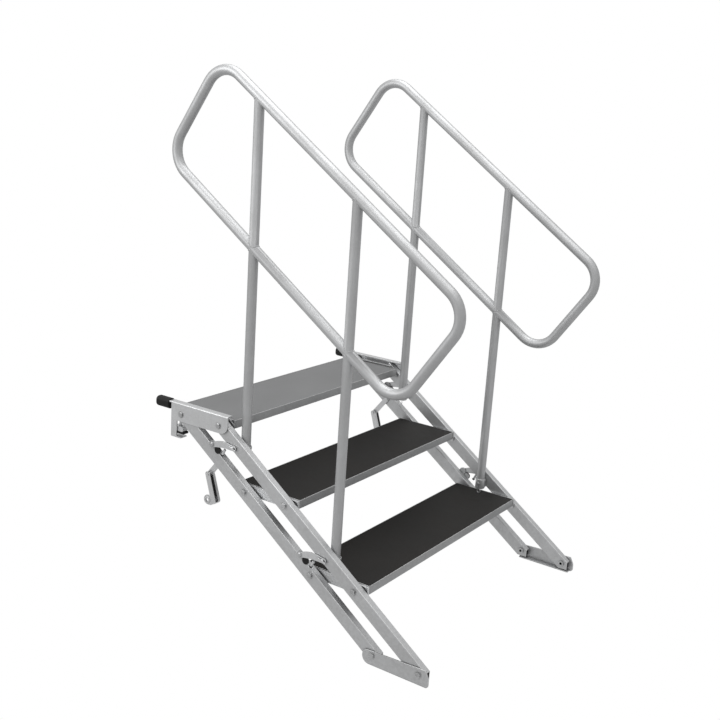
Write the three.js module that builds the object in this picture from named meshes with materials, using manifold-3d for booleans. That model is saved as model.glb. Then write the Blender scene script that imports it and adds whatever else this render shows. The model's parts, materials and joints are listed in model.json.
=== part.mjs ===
// Height-adjustable stage stair: three level treads hung between two pairs of parallel stringers, hooked
// over a stage edge at the top, standing on two foot plates, with two lift-out tubular handrails.
// Millimetres. +Z is up, +Y points towards the stage, the stair is symmetric about X = 0, and the origin
// is on the floor under the middle of the stair's length.
import * as THREE from 'three';
import { mergeVertices } from 'three/addons/utils/BufferGeometryUtils.js';
import Module from 'manifold-3d';

const wasm = await Module();
wasm.setup();

// ---------------------------------------------------------------- driving dimensions
const GAP = 0.3;                      // running gap between neighbouring pieces
const CLEAR_WIDTH = 1000;             // between the left and right stringers
const SHEET = 5;                      // plate thickness of brackets, end plates, feet and arms
const SLOPE = THREE.MathUtils.degToRad(35.39);
const PIVOT_STATIONS = [0, 346.9, 696.9, 1010.7];   // three treads, then the foot, down the stringer
const LINK = 168.2;                   // level distance from a front pivot to its rear pivot
const FOOT_PIVOT_HEIGHT = 33.5;
const TOP_PIVOT_Y = 288;              // puts the middle of the stair's length at Y = 0
const PIVOT_BOLT = { radius: 5, hole: 5.6, head: 8, headHeight: 5.5, sides: 10 };

const STRINGER = { wide: 25, deep: 45, wall: 2.5, upperCentre: -2, lowerCentre: -3.6 };
const TREAD = {
  deep: 250, high: 28, front: -37.5, top: 17.7, board: 18, rim: 4, ledge: 16, ledgeThick: 3, rib: 30,
};
const TUBE = { radius: 16.85, wall: 2.6, sides: 12, cutSides: 24 };
const RAIL = {
  slope: THREE.MathUtils.degToRad(34.4), bottom: 533, top: 915, rear: -722, front: 423, bend: 90,
  bendSteps: 5, x: 480,
};
const POST_Y = [-78.6, -463.2];
const SOCKET = { bore: 17.3, radius: 19.7, high: 39, floor: 3, top: -62, drain: 4 };
const ARM = {
  stud: 4, end: 12, slot: 5.6, slotBack: 2.5, slotOut: 7, spacing: 471.7, near: [20, -72], far: [89, -14],
  lug: { radius: 10, drop: 14 },
};
const TIE = {
  thick: 5, wide: 20, top: [5, -121], knee: [60, -190], foot: [31, -280], pin: 4,
  channelNear: 486, channelFar: 508, wall: 2.5, eye: [56, -280], eyeRadius: 17, eyeBore: 7,
};

const STAIR_TOP = FOOT_PIVOT_HEIGHT + PIVOT_STATIONS.at(-1) * Math.sin(SLOPE);
const STRINGER_NEAR = CLEAR_WIDTH / 2;
const STRINGER_FAR = STRINGER_NEAR + STRINGER.wide;
const OUTER_NEAR = STRINGER_FAR + 1;                 // brackets, feet and arms lie outside the stringers
const OUTER_FAR = OUTER_NEAR + SHEET;
const END_PLATE_FAR = STRINGER_NEAR - 4;             // end plates lie inside the stringers
const END_PLATE_NEAR = END_PLATE_FAR - SHEET;
const TREAD_HALF = END_PLATE_NEAR - GAP;

// ---------------------------------------------------------------- finishes
const finish = (colour, roughness, metalness) =>
  new THREE.MeshStandardMaterial({ color: colour, roughness, metalness });
const GALVANISED = finish(0xa9abad, 0.42, 0.85);
const TUBE_SILVER = finish(0xc2c6c7, 0.35, 0.8);
const BRIGHT_ZINC = finish(0xd4d7d9, 0.28, 0.9);
const TREAD_METAL = finish(0x8f9294, 0.45, 0.8);
const BOARD_BROWN = finish(0x2f2a28, 0.7, 0);
const RUBBER_BLACK = finish(0x141414, 0.75, 0);

// ---------------------------------------------------------------- directions and placing
const X = new THREE.Vector3(1, 0, 0);
const Y = new THREE.Vector3(0, 1, 0);
const Z = new THREE.Vector3(0, 0, 1);
const DOWN_SLOPE = new THREE.Vector3(0, -Math.cos(SLOPE), -Math.sin(SLOPE));
const OFF_SLOPE = new THREE.Vector3(0, -Math.sin(SLOPE), Math.cos(SLOPE));

// A place in the side view, from how far it is down the slope and how far above the pivot line.
const onSlope = (along, above) => [
  DOWN_SLOPE.y * along + OFF_SLOPE.y * above,
  DOWN_SLOPE.z * along + OFF_SLOPE.z * above,
];
const frontPivot = (index) => onSlope(PIVOT_STATIONS[index], 0);
const rearPivot = (index) => {
  const [y, z] = frontPivot(index);
  return [y + LINK, z];
};

const stair = new THREE.Group();
stair.position.set(0, TOP_PIVOT_Y, STAIR_TOP);

function addPiece(name, geometry, material) {
  const piece = new THREE.Mesh(geometry, material);
  piece.name = name;
  stair.add(piece);
}

// ---------------------------------------------------------------- solids
function toSolid(geometry) {
  const bare = new THREE.BufferGeometry();
  bare.setAttribute('position', geometry.getAttribute('position'));
  bare.setIndex(geometry.getIndex());
  const merged = mergeVertices(bare, 1e-3);
  return new wasm.Manifold(new wasm.Mesh({
    numProp: 3,
    vertProperties: new Float32Array(merged.getAttribute('position').array),
    triVerts: new Uint32Array(merged.getIndex().array),
  }));
}

function shaped(base, { joined = [], cut = [] }) {
  let solid = toSolid(base);
  for (const geometry of joined) {
    solid = solid.add(toSolid(geometry));
  }
  for (const geometry of cut) {
    solid = solid.subtract(toSolid(geometry));
  }
  const mesh = solid.getMesh();
  const result = new THREE.BufferGeometry();
  result.setAttribute('position', new THREE.BufferAttribute(mesh.vertProperties, 3));
  result.setIndex(new THREE.BufferAttribute(mesh.triVerts, 1));
  result.computeVertexNormals();
  return result;
}

// The low and high X of a layer that lies between two distances from the middle, on one side.
const layer = (side, near, far) => (side < 0 ? [-far, -near] : [near, far]);

function block(x, y, z) {
  const geometry = new THREE.BoxGeometry(x[1] - x[0], y[1] - y[0], z[1] - z[0]);
  return geometry.translate((x[0] + x[1]) / 2, (y[0] + y[1]) / 2, (z[0] + z[1]) / 2);
}

function crossRod(radius, [y, z], [low, high], sides = 12) {
  const geometry = new THREE.CylinderGeometry(radius, radius, high - low, sides);
  return geometry.rotateZ(-Math.PI / 2).translate((low + high) / 2, y, z);
}

const pivotHole = (place, xRange) => crossRod(PIVOT_BOLT.hole, place, xRange, PIVOT_BOLT.sides);

// A profile drawn in the side view and extruded through one layer of the stair.
function sidePlate(shape, [low, high], curveSegments = 3) {
  const options = { depth: high - low, bevelEnabled: false, curveSegments };
  return new THREE.ExtrudeGeometry(shape, options)
    .applyMatrix4(new THREE.Matrix4().makeBasis(Y, Z, X))
    .translate(low, 0, 0);
}

// A straight-sided outline whose corners are rounded by the radius given with each point.
function roundedOutline(corners) {
  const shape = new THREE.Shape();
  corners.forEach(([y, z, radius], index) => {
    const before = corners.at(index - 1);
    const after = corners[(index + 1) % corners.length];
    const arrive = new THREE.Vector2(before[0] - y, before[1] - z).normalize();
    const leave = new THREE.Vector2(after[0] - y, after[1] - z).normalize();
    const trim = radius / Math.tan(Math.acos(arrive.dot(leave)) / 2);
    const start = [y + arrive.x * trim, z + arrive.y * trim];
    const end = [y + leave.x * trim, z + leave.y * trim];
    if (index === 0) {
      shape.moveTo(...start);
    } else {
      shape.lineTo(...start);
    }
    if (radius > 0) {
      const inward = arrive.clone().add(leave).normalize();
      const reach = radius / Math.sin(Math.acos(arrive.dot(leave)) / 2);
      const centre = [y + inward.x * reach, z + inward.y * reach];
      const from = Math.atan2(start[1] - centre[1], start[0] - centre[0]);
      const to = Math.atan2(end[1] - centre[1], end[0] - centre[0]);
      const turn = Math.atan2(Math.sin(to - from), Math.cos(to - from));
      shape.absarc(...centre, radius, from, from + turn, turn < 0);
    }
  });
  shape.closePath();
  return shape;
}

// A bar with round ends between two points of the side view.
function roundBar([y0, z0], [y1, z1], radius) {
  const angle = Math.atan2(z1 - z0, y1 - y0);
  const shape = new THREE.Shape();
  shape.absarc(y1, z1, radius, angle - Math.PI / 2, angle + Math.PI / 2);
  shape.absarc(y0, z0, radius, angle + Math.PI / 2, angle + 1.5 * Math.PI);
  shape.closePath();
  return shape;
}

// ---------------------------------------------------------------- stringers
// Rectangular tube between two places down the slope, its centre line a distance above the pivot line.
function stringerTube([low, high], above, start, end) {
  const rim = new THREE.Shape();
  const bottom = above - STRINGER.deep / 2;
  rim.moveTo(low, bottom);
  rim.lineTo(high, bottom);
  rim.lineTo(high, bottom + STRINGER.deep);
  rim.lineTo(low, bottom + STRINGER.deep);
  rim.closePath();
  const bore = new THREE.Path();
  bore.moveTo(low + STRINGER.wall, bottom + STRINGER.wall);
  bore.lineTo(low + STRINGER.wall, bottom + STRINGER.deep - STRINGER.wall);
  bore.lineTo(high - STRINGER.wall, bottom + STRINGER.deep - STRINGER.wall);
  bore.lineTo(high - STRINGER.wall, bottom + STRINGER.wall);
  bore.closePath();
  rim.holes.push(bore);
  const geometry = new THREE.ExtrudeGeometry(rim, { depth: end - start, bevelEnabled: false });
  const [y, z] = onSlope(start, 0);
  return geometry
    .applyMatrix4(new THREE.Matrix4().makeBasis(X, OFF_SLOPE, DOWN_SLOPE))
    .translate(0, y, z);
}

const FOOT_TRIM = { front: 33, below: 21, spare: 120 };

// Takes the lower end of a stringer back to an upright face and a level one, so that it swings above the
// floor; the open end of the tube shows at the front.
function footEndCuts([low, high], [y, z]) {
  const across = [low - 1, high + 1];
  const front = [y - FOOT_TRIM.spare, y - FOOT_TRIM.front];
  return [
    block(across, front, [z - FOOT_TRIM.spare, z + FOOT_TRIM.spare]),
    block(across, [y - FOOT_TRIM.spare, y + FOOT_TRIM.spare], [z - FOOT_TRIM.spare, z - FOOT_TRIM.below]),
  ];
}

const STRINGER_START = -25;

function makeStringer(label, side, rear) {
  const xRange = layer(side, STRINGER_NEAR, STRINGER_FAR);
  const holesX = [xRange[0] - 1, xRange[1] + 1];
  const pivot = rear ? rearPivot : frontPivot;
  const above = rear ? STRINGER.lowerCentre : STRINGER.upperCentre;
  const length = PIVOT_STATIONS.at(-1) + FOOT_TRIM.spare;
  const tube = stringerTube(xRange, above, STRINGER_START, length);
  if (rear) {
    tube.translate(0, LINK, 0);
  }
  const wallX = layer(side, STRINGER_FAR - STRINGER.wall, STRINGER_FAR);
  const studX = layer(side, STRINGER_FAR - STRINGER.wall, OUTER_FAR + 1.5);
  const joined = [];
  for (const shift of [0, ARM.spacing]) {
    const [along, height] = rear ? ARM.near : ARM.far;
    const stud = onSlope(along + shift, height);
    joined.push(crossRod(ARM.stud, stud, studX));
    if (rear) {
      const root = onSlope(along + shift, height - ARM.lug.drop);
      joined.push(sidePlate(roundBar(stud, root, ARM.lug.radius), wallX));
    }
  }
  const cut = PIVOT_STATIONS.map((station, index) => pivotHole(pivot(index), holesX));
  cut.push(...footEndCuts(xRange, pivot(3)));
  if (rear) {
    const tieX = layer(side, STRINGER_NEAR - 1, STRINGER_NEAR + STRINGER.wall + 1);
    cut.push(crossRod(TIE.pin + GAP, TIE.top, tieX));
  }
  addPiece(`${label}_${rear ? 'lower' : 'upper'}_stringer`, shaped(tube, { joined, cut }), GALVANISED);
}

// ---------------------------------------------------------------- treads
function makeTread(label, index) {
  const [y, z] = frontPivot(index);
  const front = y + TREAD.front;
  const rear = front + TREAD.deep;
  const top = z + TREAD.top;
  const inset = (amount) => [[-TREAD_HALF + amount, TREAD_HALF - amount], [front + amount, rear - amount]];
  const whole = inset(0);
  const seat = inset(TREAD.rim);
  const open = inset(TREAD.rim + TREAD.ledge);
  const underside = top - TREAD.board - TREAD.ledgeThick - GAP;
  const rim = shaped(block(...whole, [top - TREAD.high, top]), {
    cut: [
      block(...seat, [top - TREAD.board - GAP, top + 1]),
      block(...seat, [top - TREAD.high - 1, underside]),
      block(...open, [underside - 1, top]),
    ],
  });
  const rib = block([-TREAD.rib / 2, TREAD.rib / 2], [seat[1][0] - 1, seat[1][1] + 1],
    [top - TREAD.high, underside + TREAD.ledgeThick]);
  addPiece(`${label}_tread_frame`, shaped(rim, { joined: [rib] }), TREAD_METAL);
  const board = inset(TREAD.rim + GAP);
  const boardGeometry = block(...board, [top - TREAD.board, top - GAP]);
  addPiece(`${label}_tread_board`, boardGeometry, BOARD_BROWN);
}

// ---------------------------------------------------------------- end plates
const END_PLATE = { drop: 20, rise: 16, topRise: 24, rearReach: 22, lipFront: -12, lipRear: 18 };
const TOP_PLATE_LIP = { wide: 10, thick: 2.5 };

function makeEndPlate(label, sideLabel, side, index) {
  const [y, z] = frontPivot(index);
  const isTop = index === 0;
  const { drop, rise, topRise, rearReach, lipFront, lipRear } = END_PLATE;
  const front = y + TREAD.front;
  const rear = y + LINK + rearReach;
  const outline = roundedOutline(isTop ? [
    [front, z - drop, 4],
    [rear, z - drop, 18],
    [rear, z + topRise, 3],
    [y + lipFront, z + topRise, 3],
    [front, z + 4, 2],
  ] : [
    [front, z - drop, 4],
    [rear, z - drop, 18],
    [rear, z + rise, 17],
    [front, z + rise, 3],
  ]);
  const plate = sidePlate(outline, layer(side, END_PLATE_NEAR, END_PLATE_FAR));
  const holesX = [side * END_PLATE_NEAR - 10, side * END_PLATE_NEAR + 10];
  const cut = [frontPivot(index), rearPivot(index)].map((place) => pivotHole(place, holesX));
  const joined = [];
  if (isTop) {
    const lipX = layer(side, END_PLATE_FAR - TOP_PLATE_LIP.wide, END_PLATE_FAR);
    const lipZ = [z + topRise - TOP_PLATE_LIP.thick, z + topRise];
    joined.push(block(lipX, [y + lipFront + 4, y + LINK + lipRear], lipZ));
  }
  addPiece(`${sideLabel}_${label}_end_plate`, shaped(plate, { joined, cut }), TREAD_METAL);
}

// ---------------------------------------------------------------- stage brackets
const BRACKET = {
  front: -40, rear: 213, bottom: -25, top: 38, leg: 26, legBottom: -85, flange: 25, nose: 32, hook: 45,
};
const JAW = { rear: 205, front: 163, top: -50, bottom: -63, near: 500.5 };
const CAP = { start: 223, end: 285, closed: 8, bottom: 7, top: 43, near: 503, far: 536, round: 14, bevel: 4 };

function makeStageBracket(label, side) {
  const legFront = BRACKET.rear - BRACKET.leg;
  const outline = roundedOutline([
    [BRACKET.front, BRACKET.bottom, BRACKET.nose],
    [legFront, BRACKET.bottom, 0],
    [legFront, BRACKET.legBottom, 0],
    [BRACKET.rear, BRACKET.legBottom, 4],
    [BRACKET.rear, BRACKET.top, 3],
    [BRACKET.front, BRACKET.top, 3],
  ]);
  const web = sidePlate(outline, layer(side, OUTER_NEAR, OUTER_FAR));
  const flangeX = layer(side, OUTER_FAR - BRACKET.flange, OUTER_FAR);
  const hookX = layer(side, JAW.near, OUTER_FAR);
  const joined = [
    block(flangeX, [BRACKET.front + 2, CAP.end - CAP.closed], [BRACKET.top - SHEET, BRACKET.top]),
    block(hookX, [BRACKET.rear - BRACKET.hook, BRACKET.rear - 2],
      [BRACKET.legBottom, BRACKET.legBottom + SHEET]),
  ];
  const holesX = [side * OUTER_FAR - 10, side * OUTER_FAR + 10];
  const cut = [frontPivot(0), rearPivot(0)].map((place) => pivotHole(place, holesX));
  addPiece(`${label}_stage_bracket`, shaped(web, { joined, cut }), BRIGHT_ZINC);

  const capX = layer(side, CAP.near, CAP.far);
  const { round, bevel } = CAP;
  const section = new THREE.Shape();
  section.absarc(capX[1] - round, CAP.bottom + round, round, -Math.PI / 2, 0);
  section.absarc(capX[1] - round, CAP.top - round, round, 0, Math.PI / 2);
  section.absarc(capX[0] + round, CAP.top - round, round, Math.PI / 2, Math.PI);
  section.absarc(capX[0] + round, CAP.bottom + round, round, Math.PI, 1.5 * Math.PI);
  section.closePath();
  const sleeve = new THREE.ExtrudeGeometry(section, {
    depth: CAP.end - CAP.start - 2 * bevel, bevelThickness: bevel, bevelSize: bevel, bevelOffset: -bevel,
    bevelSegments: 1, curveSegments: 2,
  });
  sleeve.applyMatrix4(new THREE.Matrix4().makeBasis(X.clone().negate(), Z, Y));
  sleeve.translate(capX[0] + capX[1], CAP.start + bevel, 0);
  const tongueSlot = block([flangeX[0] - GAP, flangeX[1] + GAP], [BRACKET.rear, CAP.end - CAP.closed + GAP],
    [BRACKET.top - SHEET - GAP, BRACKET.top + GAP]);
  addPiece(`${label}_rubber_cap`, shaped(sleeve, { cut: [tongueSlot] }), RUBBER_BLACK);

  const jaw = roundedOutline([
    [JAW.front, JAW.bottom, 4],
    [JAW.rear, JAW.bottom, 0],
    [JAW.rear, JAW.top, 0],
    [JAW.front, JAW.top, 4],
  ]);
  addPiece(`${label}_clamp_jaw`, sidePlate(jaw, layer(side, JAW.near, OUTER_NEAR - GAP)), BRIGHT_ZINC);
}

// ---------------------------------------------------------------- foot plates
const FOOT = { front: -37, rear: 203, frontTop: 22, rearTop: 13, lip: 25, corner: 25 };

function makeFootPlate(label, side) {
  const [y, z] = frontPivot(3);
  const floor = z - FOOT_PIVOT_HEIGHT;
  const outline = roundedOutline([
    [y + FOOT.front, floor, 10],
    [y + FOOT.rear, floor, FOOT.corner],
    [y + FOOT.rear, z + FOOT.rearTop, 20],
    [y + FOOT.front, z + FOOT.frontTop, 3],
  ]);
  const web = sidePlate(outline, layer(side, OUTER_NEAR, OUTER_FAR));
  const lipX = layer(side, OUTER_FAR - FOOT.lip, OUTER_FAR);
  const lip = block(lipX, [y + FOOT.front + 10, y + FOOT.rear - FOOT.corner], [floor, floor + SHEET]);
  const holesX = [side * OUTER_FAR - 10, side * OUTER_FAR + 10];
  const cut = [frontPivot(3), rearPivot(3)].map((place) => pivotHole(place, holesX));
  addPiece(`${label}_foot_plate`, shaped(web, { joined: [lip], cut }), GALVANISED);
}

// ---------------------------------------------------------------- pivot bolts
// Turned about X: a round head outside, and a shank through every layer of the joint.
function makePivotBolt(name, side, [y, z], headFrom, shankEnd) {
  const length = headFrom - shankEnd;
  const { radius, head, headHeight } = PIVOT_BOLT;
  const profile = [
    [0, 0], [radius, 0], [radius, length], [head, length], [head, length + headHeight - 1.5],
    [head - 1.5, length + headHeight], [0, length + headHeight],
  ];
  const outline = profile.map((point) => new THREE.Vector2(...point));
  const geometry = new THREE.LatheGeometry(outline, PIVOT_BOLT.sides);
  geometry.rotateZ(side < 0 ? Math.PI / 2 : -Math.PI / 2).translate(side * shankEnd, y, z);
  addPiece(name, shaped(geometry, {}), BRIGHT_ZINC);
}

// ---------------------------------------------------------------- handrails
// Passes through a list of points, one step of the extrusion to each.
class StationPath extends THREE.Curve {
  constructor(points) {
    super();
    this.points = points;
  }

  getPoint(t) {
    const place = Math.min(Math.max(t, 0), 1) * (this.points.length - 1);
    const index = Math.min(Math.floor(place), this.points.length - 2);
    return this.points[index].clone().lerp(this.points[index + 1], place - index);
  }

  getUtoTmapping(u) {
    return u;
  }
}

// A place in the handrail's own frame: down the rail and square to it, in the side view.
const onRail = (down, up) => [
  -down * Math.cos(RAIL.slope) - up * Math.sin(RAIL.slope),
  -down * Math.sin(RAIL.slope) + up * Math.cos(RAIL.slope),
];

// How far down the rail a post at this Y crosses the line that is this far up.
const railCrossing = (y, up) => -(y + up * Math.sin(RAIL.slope)) / Math.cos(RAIL.slope);

const railPoint = (x, down, up) => new THREE.Vector3(x, ...onRail(down, up));

function tubeSection() {
  const section = new THREE.Shape().absarc(0, 0, TUBE.radius, 0, 2 * Math.PI);
  section.holes.push(new THREE.Path().absarc(0, 0, TUBE.radius - TUBE.wall, 0, 2 * Math.PI, true));
  return section;
}

function tubeAlong(points) {
  return new THREE.ExtrudeGeometry(tubeSection(), {
    steps: points.length - 1, extrudePath: new StationPath(points), bevelEnabled: false,
    curveSegments: TUBE.sides / 2,
  });
}

function roundRod(radius, start, end) {
  const geometry = new THREE.CylinderGeometry(radius, radius, start.distanceTo(end), TUBE.cutSides);
  const turn = new THREE.Quaternion().setFromUnitVectors(Y, end.clone().sub(start).normalize());
  const middle = start.clone().lerp(end, 0.5);
  return geometry.applyQuaternion(turn).translate(...middle.toArray());
}

function bendPoints(x, downCentre, upCentre, from, to) {
  const points = [];
  for (let step = 0; step <= RAIL.bendSteps; step += 1) {
    const angle = THREE.MathUtils.degToRad(from + ((to - from) * step) / RAIL.bendSteps);
    const down = downCentre + RAIL.bend * Math.cos(angle);
    points.push(railPoint(x, down, upCentre + RAIL.bend * Math.sin(angle)));
  }
  return points;
}

const SOCKET_TOPS = POST_Y.map((y) => SOCKET.top + ((y - POST_Y[0]) * Math.sin(SLOPE)) / Math.cos(SLOPE));
const socketFloor = (index) => SOCKET_TOPS[index] - SOCKET.high;

function makeHandrail(label, side) {
  const x = side * RAIL.x;
  const [upperPost, lowerPost] = POST_Y.map((y) => railCrossing(y, RAIL.bottom));
  const nearFront = RAIL.front - RAIL.bend;
  const nearRear = RAIL.rear + RAIL.bend;
  const low = RAIL.bottom + RAIL.bend;
  const high = RAIL.top - RAIL.bend;
  const postCuts = [upperPost, lowerPost].map((down) => {
    const crossing = railPoint(x, down, RAIL.bottom);
    const reach = new THREE.Vector3(0, 0, 4 * TUBE.radius);
    return roundRod(TUBE.radius + GAP, crossing.clone().sub(reach), crossing.clone().add(reach));
  });
  const loop = tubeAlong([
    railPoint(x, lowerPost, RAIL.bottom),
    ...bendPoints(x, nearFront, low, -90, 0),
    ...bendPoints(x, nearFront, high, 0, 90),
    ...bendPoints(x, nearRear, high, 90, 180),
    ...bendPoints(x, nearRear, low, 180, 270),
    railPoint(x, upperPost, RAIL.bottom),
  ]);
  addPiece(`${label}_handrail_loop`, shaped(loop, { cut: postCuts }), TUBE_SILVER);

  const knee = tubeAlong([railPoint(x, upperPost, RAIL.bottom), railPoint(x, lowerPost, RAIL.bottom)]);
  addPiece(`${label}_knee_rail`, shaped(knee, { cut: postCuts }), TUBE_SILVER);

  const topRailEnds = [nearRear, nearFront].map((down) => railPoint(x, down, RAIL.top));
  const topRail = roundRod(TUBE.radius + GAP, ...topRailEnds);
  POST_Y.forEach((y, index) => {
    const bottom = socketFloor(index) + SOCKET.floor + GAP;
    const top = onRail(railCrossing(y, RAIL.top), RAIL.top)[1];
    const post = new THREE.ExtrudeGeometry(tubeSection(), {
      depth: top - bottom, bevelEnabled: false, curveSegments: TUBE.sides / 2,
    });
    post.translate(x, y, bottom);
    const place = index === 0 ? 'upper' : 'lower';
    addPiece(`${label}_${place}_post`, shaped(post, { cut: [topRail] }), TUBE_SILVER);
  });
}

// A cup on the inner face of the upper stringer; the post drops in from above.
function makeSocket(label, side, index) {
  const { bore, radius, high, floor, drain } = SOCKET;
  const profile = [
    [drain, 0], [radius, 0], [radius, high], [bore, high], [bore, floor], [drain, floor], [drain, 0],
  ];
  const cup = new THREE.LatheGeometry(profile.map((point) => new THREE.Vector2(...point)), TUBE.sides);
  cup.rotateX(Math.PI / 2).translate(side * RAIL.x, POST_Y[index], socketFloor(index));
  addPiece(`${label}_${index === 0 ? 'upper' : 'lower'}_post_socket`, shaped(cup, {}), BRIGHT_ZINC);
}

// ---------------------------------------------------------------- locking arms
// Turns on a stud on the lower stringer; a slot lets it slide past a clamping stud on the upper stringer.
function makeLockingArm(label, side, index) {
  const shift = index * ARM.spacing;
  const near = onSlope(ARM.near[0] + shift, ARM.near[1]);
  const far = onSlope(ARM.far[0] + shift, ARM.far[1]);
  const xRange = layer(side, OUTER_NEAR, OUTER_FAR);
  const holesX = [xRange[0] - 1, xRange[1] + 1];
  const bar = sidePlate(roundBar(near, far, ARM.end), xRange);
  const direction = [far[0] - near[0], far[1] - near[1]];
  const length = Math.hypot(...direction);
  const unit = direction.map((value) => value / length);
  const inner = far.map((value, axis) => value - unit[axis] * ARM.slotBack);
  const outer = far.map((value, axis) => value + unit[axis] * ARM.slotOut);
  const slotted = sidePlate(roundBar(inner, outer, ARM.end), xRange);
  const cut = [
    crossRod(ARM.stud + GAP, near, holesX),
    sidePlate(roundBar(inner, outer, ARM.slot), holesX),
  ];
  const name = `${label}_${index === 0 ? 'upper' : 'lower'}_locking_arm`;
  addPiece(name, shaped(bar, { joined: [slotted], cut }), BRIGHT_ZINC);
}

// ---------------------------------------------------------------- tie struts
// A flat link on a pin in the lower stringer, and a channel link on its end that carries the tie's eye.
function makeTieStrut(label, side) {
  const linkX = layer(side, STRINGER_NEAR - 1 - TIE.thick, STRINGER_NEAR - 1);
  const pinX = layer(side, STRINGER_NEAR - 1 - TIE.thick, STRINGER_NEAR + STRINGER.wall);
  const upper = shaped(sidePlate(roundBar(TIE.top, TIE.knee, TIE.wide / 2), linkX), {
    joined: [crossRod(TIE.pin, TIE.top, pinX)],
    cut: [crossRod(TIE.pin + GAP, TIE.knee, [linkX[0] - 1, linkX[1] + 1])],
  });
  addPiece(`${label}_tie_upper_link`, upper, BRIGHT_ZINC);

  const channelX = layer(side, TIE.channelNear, TIE.channelFar);
  const hollowX = layer(side, TIE.channelNear + TIE.wall, TIE.channelFar - TIE.wall);
  const eyeX = layer(side, TIE.channelFar - 4, TIE.channelFar);
  const angle = Math.atan2(TIE.knee[1] - TIE.foot[1], TIE.knee[0] - TIE.foot[0]);
  const half = TIE.wide / 2 + 3;
  const onChannel = ([y, z], up, back) => [
    y + Math.cos(angle) * up + Math.sin(angle) * back,
    z + Math.sin(angle) * up - Math.cos(angle) * back,
  ];
  const hollow = roundedOutline([
    [...onChannel(TIE.foot, -5, half - TIE.wall), 0],
    [...onChannel(TIE.knee, 2 * half, half - TIE.wall), 0],
    [...onChannel(TIE.knee, 2 * half, -2 * half), 0],
    [...onChannel(TIE.foot, -5, -2 * half), 0],
  ]);
  const channel = shaped(sidePlate(roundBar(TIE.foot, TIE.knee, half), channelX), {
    cut: [sidePlate(hollow, hollowX)],
  });
  const eye = sidePlate(roundBar(TIE.eye, [TIE.foot[0] + 15, TIE.eye[1]], TIE.eyeRadius), eyeX, 4);
  const lower = shaped(channel, {
    joined: [eye, crossRod(TIE.pin, TIE.knee, channelX)],
    cut: [crossRod(TIE.eyeBore, TIE.eye, [eyeX[0] - 1, eyeX[1] + 1])],
  });
  addPiece(`${label}_tie_lower_link`, lower, BRIGHT_ZINC);
}

// ---------------------------------------------------------------- the stair
const TREADS = ['top', 'middle', 'bottom'];
TREADS.forEach((label, index) => makeTread(label, index));

for (const [label, side] of [['left', -1], ['right', 1]]) {
  makeStringer(label, side, false);
  makeStringer(label, side, true);
  makeStageBracket(label, side);
  makeFootPlate(label, side);
  makeHandrail(label, side);
  makeTieStrut(label, side);
  for (const index of [0, 1]) {
    makeSocket(label, side, index);
    makeLockingArm(label, side, index);
  }
  TREADS.forEach((tread, index) => makeEndPlate(tread, label, side, index));
  [...TREADS, 'foot'].forEach((place, index) => {
    const outermost = index === 0 || place === 'foot' ? OUTER_FAR : STRINGER_FAR;
    const innermost = place === 'foot' ? STRINGER_NEAR - 6 : END_PLATE_NEAR;
    makePivotBolt(`${label}_${place}_front_bolt`, side, frontPivot(index), outermost + GAP, innermost);
    makePivotBolt(`${label}_${place}_rear_bolt`, side, rearPivot(index), outermost + GAP, innermost);
  });
}

export default stair;
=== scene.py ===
import json
import math

import bmesh
import bpy
from mathutils import Matrix, Vector


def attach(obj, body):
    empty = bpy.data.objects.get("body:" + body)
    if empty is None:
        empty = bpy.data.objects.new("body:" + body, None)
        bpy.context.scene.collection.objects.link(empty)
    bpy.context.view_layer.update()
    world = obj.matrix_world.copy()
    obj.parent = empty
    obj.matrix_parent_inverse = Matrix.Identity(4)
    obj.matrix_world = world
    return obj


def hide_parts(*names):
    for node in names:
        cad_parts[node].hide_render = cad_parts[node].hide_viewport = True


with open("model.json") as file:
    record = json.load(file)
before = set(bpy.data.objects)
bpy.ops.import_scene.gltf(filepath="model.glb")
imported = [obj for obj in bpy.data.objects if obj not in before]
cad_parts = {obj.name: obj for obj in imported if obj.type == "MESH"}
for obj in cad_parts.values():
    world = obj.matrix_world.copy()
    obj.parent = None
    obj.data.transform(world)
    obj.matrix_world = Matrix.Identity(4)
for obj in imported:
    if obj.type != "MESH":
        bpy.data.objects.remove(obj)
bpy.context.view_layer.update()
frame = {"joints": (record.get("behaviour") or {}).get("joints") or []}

# ------------------------------------------------------------------ sizes, in metres
MM = 0.001
JOINTS = {joint["name"]: joint for joint in frame["joints"]}
SIDES = (("left", -1), ("right", 1))
AXIS_X = Vector((1, 0, 0))
TREADS = ("top", "middle", "bottom")


def joint_place(name):
    return Vector(JOINTS[name]["pos_m"])


TOP_PIVOT = joint_place("height_fold")
FRONT_PIVOTS = [TOP_PIVOT.yz, joint_place("middle_step_level").yz, joint_place("bottom_step_level").yz,
                joint_place("left_foot_level").yz]
LINK = joint_place("lower_stringer_fold").y - TOP_PIVOT.y
REAR_PIVOTS = [pivot + Vector((LINK, 0)) for pivot in FRONT_PIVOTS]
DOWN = (FRONT_PIVOTS[3] - FRONT_PIVOTS[0]).normalized()      # down the stringers, in the side view
OFF = Vector((DOWN.y, -DOWN.x))                               # square to them, upwards
STRINGER_LENGTH = (FRONT_PIVOTS[3] - FRONT_PIVOTS[0]).length

STRINGER_NEAR, STRINGER_FAR = 500 * MM, 525 * MM              # layers, from the middle outwards
OUTER_NEAR, OUTER_FAR = 526 * MM, 531 * MM
PLATE_NEAR, PLATE_FAR = 491 * MM, 496 * MM
STRINGER_DEEP = 45 * MM
STRINGER_WALL = 2.5 * MM
STRINGER_CORNER = 2.6 * MM
STRINGER_BORE_CORNER = 1 * MM
STRINGER_START = -25 * MM
UPPER_CENTRE, LOWER_CENTRE = -2 * MM, -3.6 * MM
FOOT_TRIM_FRONT, FOOT_TRIM_BELOW, FOOT_TRIM_SPARE = 22.5 * MM, 21 * MM, 120 * MM

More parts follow.
